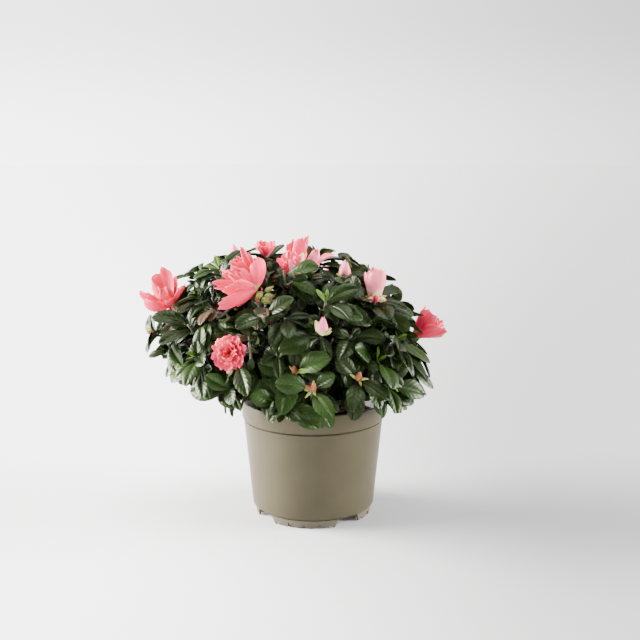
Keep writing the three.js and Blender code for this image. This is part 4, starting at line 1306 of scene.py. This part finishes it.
def pot_mesh():
    cuts = skirt_cuts()
    degree = math.radians(1) * SKIRT_RADIUS
    marks = list(np.arange(0, 360, 2.5))
    for centre, narrow, slope, tall in cuts:
        marks += [centre + side * x / degree
                  for x in (narrow, narrow + tall / slope) for side in (-1, 1)]
    marks = np.sort(np.mod(marks, 360))
    degrees = marks[np.concatenate([[True], np.diff(marks) > 0.12])]
    foot = np.zeros_like(degrees)
    for centre, narrow, slope, tall in cuts:
        x = np.abs((degrees - centre + 180) % 360 - 180) * degree
        foot = np.maximum(foot, np.clip(tall - (x - narrow) * slope, 0, tall))
    top, band, base = POT_HEIGHT, POT_HEIGHT - RIM_BAND, BASE_HEIGHT
    skirt_in, skirt_out = SKIRT_RADIUS - SKIRT_THICKNESS, SKIRT_RADIUS + SKIRT_SPLAY
    outside = [
        (0.4, 0.0), (PAD_RADIUS - 0.6, 0.0), (PAD_RADIUS, 0.6), (PAD_RADIUS, base),
        (skirt_in - 0.4, base), (skirt_in, base - 0.4), (skirt_in, foot),
        (SKIRT_RADIUS + SKIRT_SPLAY * (2 * foot / base - 1), foot), (skirt_out - 0.1, base - 0.7),
        (skirt_out - 0.5, base - 0.3), (skirt_out - 0.5, base + 0.1),
        (WALL_FOOT_RADIUS - 0.25, base + 0.45), (WALL_FOOT_RADIUS, base + 0.9),
    ]
    for share in (0.15, 0.4, 0.65, 0.9, 0.985):
        outside.append((lerp(WALL_FOOT_RADIUS, WALL_TOP_RADIUS, share),
                        base + 0.9 + (band - base - 1.4) * share))
    outside += [
        (WALL_TOP_RADIUS - 1.2, band - 1.2), (WALL_TOP_RADIUS - 1.2, band),
        (WALL_TOP_RADIUS + 0.75, band + 0.05), (RIM_RADIUS - 0.6, band + 0.5),
        (RIM_RADIUS - 0.3, band + RIM_STEP), (RIM_RADIUS - 0.1, top - RIM_BAND / 2),
        (RIM_RADIUS, top - RIM_STEP), (RIM_RADIUS - 0.15, top - 0.8),
        (RIM_RADIUS - 0.6, top - 0.2),
    ]
    lining = [
        (RIM_RADIUS - 1.2, top), (RIM_RADIUS - 1.9, top - 0.2), (RIM_RADIUS - 2.4, top - 0.8),
        (RIM_RADIUS - 2.6, top - 2), (WALL_TOP_RADIUS - WALL_THICKNESS, band - RIM_STEP),
        (WALL_FOOT_RADIUS - WALL_THICKNESS, base + BASE_THICKNESS), (0.4, base + BASE_THICKNESS),
    ]
    angle = np.radians(degrees)
    rings = np.array([
        np.stack([radius * np.sin(angle), -radius * np.cos(angle), angle * 0 + height], 1)
        for radius, height in outside + lining
    ])
    share = np.broadcast_arrays(rings[..., 2] / POT_HEIGHT, degrees / 360)
    white = np.repeat(np.arange(len(rings) - 1) >= len(outside), len(degrees))
    ends = np.repeat([0, 1], len(degrees))
    mesh = Mesh()
    mesh.add_turned(rings, ((0, 0, 0), (0, 0, base + BASE_THICKNESS)), np.stack(share, 2),
                    np.concatenate([white, ends]))
    return mesh


# Potting soil: a bed of grains with crumbs on it
def on_circles(radius, angle, height):
    """Points at the angles on circles of the radii, which lie at the heights."""
    x, y = radius * np.cos(angle), radius * np.sin(angle)
    return np.stack(np.broadcast_arrays(x, y, height), -1)


def soil_mesh(rng):
    count, around = SOIL_GRID
    radius = np.linspace(0.5, 61.2, count)[:, None]
    lumps = rng.normal(0, 1, SOIL_GRID)
    lumps += np.roll(lumps, 1, 0) + np.roll(lumps, 1, 1) + np.roll(lumps, -1, 1)
    height = np.interp(radius, *SOIL_PROFILE) - 0.5 + np.clip(0.34 * lumps, -1.6, 0.45)
    angle = 2 * math.pi * np.arange(around) / around
    foot = on_circles(SOIL_FOOT[0], angle, SOIL_FOOT[1])[None]
    rings = np.vstack([foot, on_circles(radius, angle, height)[::-1]])
    mesh = Mesh()
    mesh.add_turned(rings, ((0, 0, SOIL_FOOT[1]), (0, 0, SOIL_TOP - 0.4)), rings[..., :2] / 100)
    return mesh


def crumb_mesh(rng):
    radius = 60 * np.sqrt(rng.uniform(0.03, 1, CRUMBS))
    angle = rng.uniform(0, 2 * math.pi, CRUMBS)
    size = rng.uniform(0.35, 1.25, CRUMBS) ** 1.3
    centre = on_circles(radius, angle, np.interp(radius, *SOIL_PROFILE) - 0.25)
    corners = np.array([[1, 0, 0], [0, 1, 0], [-1, 0, 0], [0, -1, 0], [0, 0, 0.8], [0, 0, -0.8]])
    corners = corners + rng.uniform(-0.35, 0.35, (CRUMBS, 6, 3))
    points = centre[:, None] + corners * size[:, None, None]
    points[..., 2] = np.minimum(points[..., 2], centre[:, None, 2] + 1.0)
    sides = np.array([(a, b, tip, NO_CORNER) for i in range(4)
                      for a, b, tip in ((i, (i + 1) % 4, 4), ((i + 1) % 4, i, 5))])
    faces = (sides + 6 * np.arange(CRUMBS)[:, None, None]).reshape(-1, 4)
    points = points.reshape(-1, 3)
    mesh = Mesh()
    mesh.add(points, faces, points[:, :2] / 100, np.zeros(len(faces), int))
    return mesh


# The plant's pieces
def dress(piece, slot, *nodes):
    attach(piece, "root")
    if nodes:
        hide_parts(*nodes)


rng = np.random.default_rng(LOOK_SEED)
BARK = plain_finish("bark", (0.023, 0.015, 0.01), 0.85, 420.0, 0.45, 0.9, 0.0009,
                    stretch=(1.0, 1.0, 0.3), other=(0.048, 0.034, 0.023))
YOUNG_BARK = plain_finish("young_bark", (0.026, 0.035, 0.01), 0.6, 500.0, 0.3, 0.5, 0.0004,
                          other=(0.036, 0.026, 0.013))
limbs = grow_limbs(rng).build("stem_and_boughs", [BARK])
dress(limbs, "bark", "main_stem", *["bough_" + name for name in BOUGHS])

# Colour, colour of the veins, roughness and depth of the veins
TONES = {
    "dark": ((0.0052, 0.0106, 0.0019), (0.021, 0.035, 0.009), 0.34, 1.0),
    "mid": ((0.0095, 0.0225, 0.0034), (0.03, 0.057, 0.011), 0.38, 0.9),
    "fresh": ((0.075, 0.15, 0.015), (0.15, 0.23, 0.035), 0.45, 0.7),
    "bronze": ((0.044, 0.02, 0.0115), (0.075, 0.037, 0.02), 0.36, 1.0),
}
UNDER = leaf_finish("leaf_underside", (0.033, 0.056, 0.014), (0.068, 0.1, 0.032), 0.6, 0.8)
for tone, colors in TONES.items():
    top_side = leaf_finish("leaf_" + tone, *colors)
    for coarse in (False, True):
        rows = [row for row in leaves.rows if row["tone"] == tone and row["coarse"] == coarse]
        if not rows:
            continue
        mesh = Mesh()
        add_blades(mesh, *leaf_blades(rows, rng, coarse))
        name = "leaves_inner" if coarse else "leaves_" + tone
        nodes = ["foliage_" + mass for mass in NAMES] if name == "leaves_dark" else []
        dress(mesh.build(name, [top_side, UNDER], sharp=70), "foliage", *nodes)

meshes = {key: Mesh(PETAL_GRID) for key in ("outer", "inner", "pale")}
meshes.update({key: Mesh(SMALL_GRID) for key in ("cream", "rose", "green", "scale", "calyx")})
twig_mesh = grow_twig_mesh(rng)
for shoot, scale in blooms:
    label = shoot.get("name", shoot.get("order"))
    kind = SCENE_KINDS.get(label, shoot["kind"])
    base, way = shoot["tip"] + STALKS.get(label, 0), AXES.get(label, shoot["way"])
    if label in STALKS:
        bend = lerp(shoot["tip"], base, 0.5) - UP
        path = bezier(shoot["tip"] - shoot["way"], bend, base + way, np.linspace(0, 1, 6))
        tube(twig_mesh, path, [1.05, 1.0, 0.95, 0.95, 1.0, 1.2], kind=1)
    scale = scale * SCENE_SCALES.get(label, 1.0)
    for side in SIDE_BUDS.get(label, ()):
        side_bud(meshes, twig_mesh, shoot, rng, *side)
    if kind == "cone":
        cone(meshes["scale"], base, way, rng, *CONE_SIZE)
        continue
    tube(meshes["calyx"], np.array([base - way, base + way * 1.5]), [1.2, 1.5])
    if kind == "bud":
        height, radius = (size * scale for size in BUD_SIZE)
        radius *= SLIM_BUDS.get(label, 1.0)
        bud(meshes["pale"], base, way, rng, height, radius, 7, 0.08, 0.5)
    elif kind == "opening":
        height, radius = (size * scale for size in OPENING_SIZE)
        bud(meshes["pale"], base, way, rng, height, radius, 7, 0.25, 1.0)
        petal(meshes["pale"], base, way, rng, turn_to(way, 95), 25, 12, 20, 62, 1.3, (1.2, 0.8))
    else:
        bloom(meshes, {**shoot, "kind": kind}, scale, rng)
    for i in range(5):
        petal(meshes["calyx"], base, way, rng, 2 * math.pi * i / 5, 5.5, 4.0, 40, 12, 0.1,
              foot=1.2, claw=0.5, tip_round=0.6)
dress(twig_mesh.build("twigs", [BARK, YOUNG_BARK]), "bark")

# Colours of the petal, its edge and its foot, how far the foot's reaches, share of the edge's
PETALS = {
    "outer": ("petals_outer", (0.78, 0.017, 0.082), (0.96, 0.12, 0.23),
    (0.6, 0.2, 0.1), 0.22, 0.7),
    "inner": ("petals_inner", (0.68, 0.009, 0.043), (0.96, 0.15, 0.25),
    (0.55, 0.1, 0.06), 0.22, 0.8),
    "pale": ("petals_pale", (0.9, 0.19, 0.27), (0.96, 0.11, 0.2), (0.78, 0.68, 0.36), 0.45, 0.6),
    "cream": ("buds_cream", (0.8, 0.62, 0.33), (0.9, 0.36, 0.3), (0.45, 0.5, 0.14), 0.35, 0.8),
    "rose": ("petals_rose", (0.72, 0.035, 0.075), (0.95, 0.12, 0.16), (0.7, 0.4, 0.2), 0.3, 0.7),
    "green": ("buds_green", (0.31, 0.32, 0.065), (0.42, 0.18, 0.075),
    (0.19, 0.27, 0.05), 0.3, 0.9),
    "scale": ("bud_scales", (0.31, 0.085, 0.03), (0.38, 0.15, 0.06), (0.2, 0.18, 0.05), 0.3, 0.8),
}
for key, (name, *colors) in PETALS.items():
    material = petal_finish(name, *colors)
    dress(meshes[key].build(name, [material, material], sharp=75), "blossom")
CALYX = plain_finish("calyx", (0.15, 0.22, 0.05), 0.5, 300.0, 0.25, 0.3, 0.0003)
dress(meshes["calyx"].build("calyces", [CALYX, CALYX], sharp=75), "foliage")

POT = pot_finish("pot_taupe", (0.052, 0.0442, 0.0262), (0.115, 0.1, 0.075))
LINING = plain_finish("pot_lining", (0.93, 0.93, 0.94), 0.4, 500.0, 0.03, 0.15, 0.0002)
dress(pot_mesh().build("pot_shell", [POT, LINING], sharp=38), "pot_plastic", "pot")
SOIL = plain_finish("peat", (0.045, 0.02, 0.012), 0.95, 800.0, 0.55, 1.0, 0.0012,
                    other=(0.09, 0.05, 0.03))
dress(soil_mesh(rng).build("soil_bed", [SOIL]), "potting_soil", "potting_soil")
dress(crumb_mesh(rng).build("soil_crumbs", [SOIL], sharp=30), "potting_soil")


# Floor of pale paper with painted light: its tone runs from light at the left to dark at the
# right, as the light of the studio falls off. The studio is brighter at the left: tone of the
# floor, and strength of the world low down, in a band over that and high up, each at the left and
# at the right
FLOOR_PAINTED_LIGHT = (0.9, 0.31)
HORIZON = (6.0, 1.95)
BAND = (3.8, 1.25)
OVERHEAD = (1.25, 0.75)
SIDES = (-0.45, 0.45)
# Direction, strength, spread in degrees and colour
SUNS = {
    "key": ((-0.94, 0.12, 0.24), 40.0, 42, (1.0, 0.985, 0.95)),
    "fill": ((0.96, 0.0, 0.19), 18.5, 42, (1, 1, 1)),
    "top": ((0.05, 0.1, 1.0), 3.4, 50, (1, 1, 1)),
}
# The photo's camera, fitted to the pot's rim, rim band and foot
CAMERA_PLACE = (0.0062, -0.8319, 0.3221)
CAMERA_TILT = 80.07
CAMERA_LENS = 52.85
CAMERA_SENSOR = 36


def studio_floor():
    angle = np.radians(np.arange(0, 360, 6))
    radii = np.array([0.2, 0.5, 1.2, 3.0, 8.0, 30.0])
    points = on_circles(radii[:, None], angle, 0.0).reshape(-1, 3)
    faces = loop_faces(len(radii), len(angle))[:, ::-1].tolist() + [list(range(len(angle)))]
    mesh = bpy.data.meshes.new("floor")
    mesh.from_pydata(points.tolist(), [], faces)
    material, shader, place = finish("studio_paper_painted_light", (0.8, 0.8, 0.81), 0.8, {
        "Specular IOR Level": 0.0,
    })
    x, y, _ = place.split()
    away = (x * x + y * y + 0.2).calc("SQRT")
    light, dark = ((tone, tone, tone * 1.01, 1.0) for tone in FLOOR_PAINTED_LIGHT)
    # Painted light: the paper's colour is lighter at the left and darker at the right, standing in
    # for the fall-off of the key light
    wire(shader, Base_Color=(x / away).step(*SIDES).blend(light, dark),
         Normal=place.noise(900.0).bump(0.05, 0.0003))
    mesh.materials.append(material)
    piece = bpy.data.objects.new("floor", mesh)
    bpy.context.scene.collection.objects.link(piece)


def sun_light(name, towards, strength, spread, color):
    light = bpy.data.lights.new(name, "SUN")
    light.energy = strength
    light.angle = math.radians(spread)
    light.color = color
    lamp = bpy.data.objects.new(name, light)
    lamp.rotation_euler = Vector(towards).to_track_quat("Z", "Y").to_euler()
    bpy.context.scene.collection.objects.link(lamp)


def studio_world():
    world = bpy.data.worlds.new("studio")
    world.use_nodes = True
    tree = world.node_tree
    x, y, z = add_node(tree, "TexCoord").split()
    band = lerp(x.step(*SIDES, *HORIZON), x.step(*SIDES, *BAND), z.step(0.0, 0.15))
    high = x.step(-0.8, 0.8, *OVERHEAD) * y.step(-0.5, 0.3, 0.15, 1.0)
    background = tree.nodes["Background"]
    background.inputs["Color"].default_value = (0.99, 0.99, 1.0, 1)
    wire(background, Strength=lerp(band, high, z.step(0.17, 0.4)))
    bpy.context.scene.world = world


studio_floor()
studio_world()
for name, sun in SUNS.items():
    sun_light(name, *sun)

lens = bpy.data.cameras.new("camera")
lens.lens = CAMERA_LENS
lens.sensor_width = CAMERA_SENSOR
camera = bpy.data.objects.new("camera", lens)
camera.location = CAMERA_PLACE
camera.rotation_euler = (math.radians(CAMERA_TILT), 0, 0)
bpy.context.scene.collection.objects.link(camera)
bpy.context.scene.camera = camera

print("leaves", len(leaves.rows), "twigs", len(twig_lines), "blossoms", len(blooms))
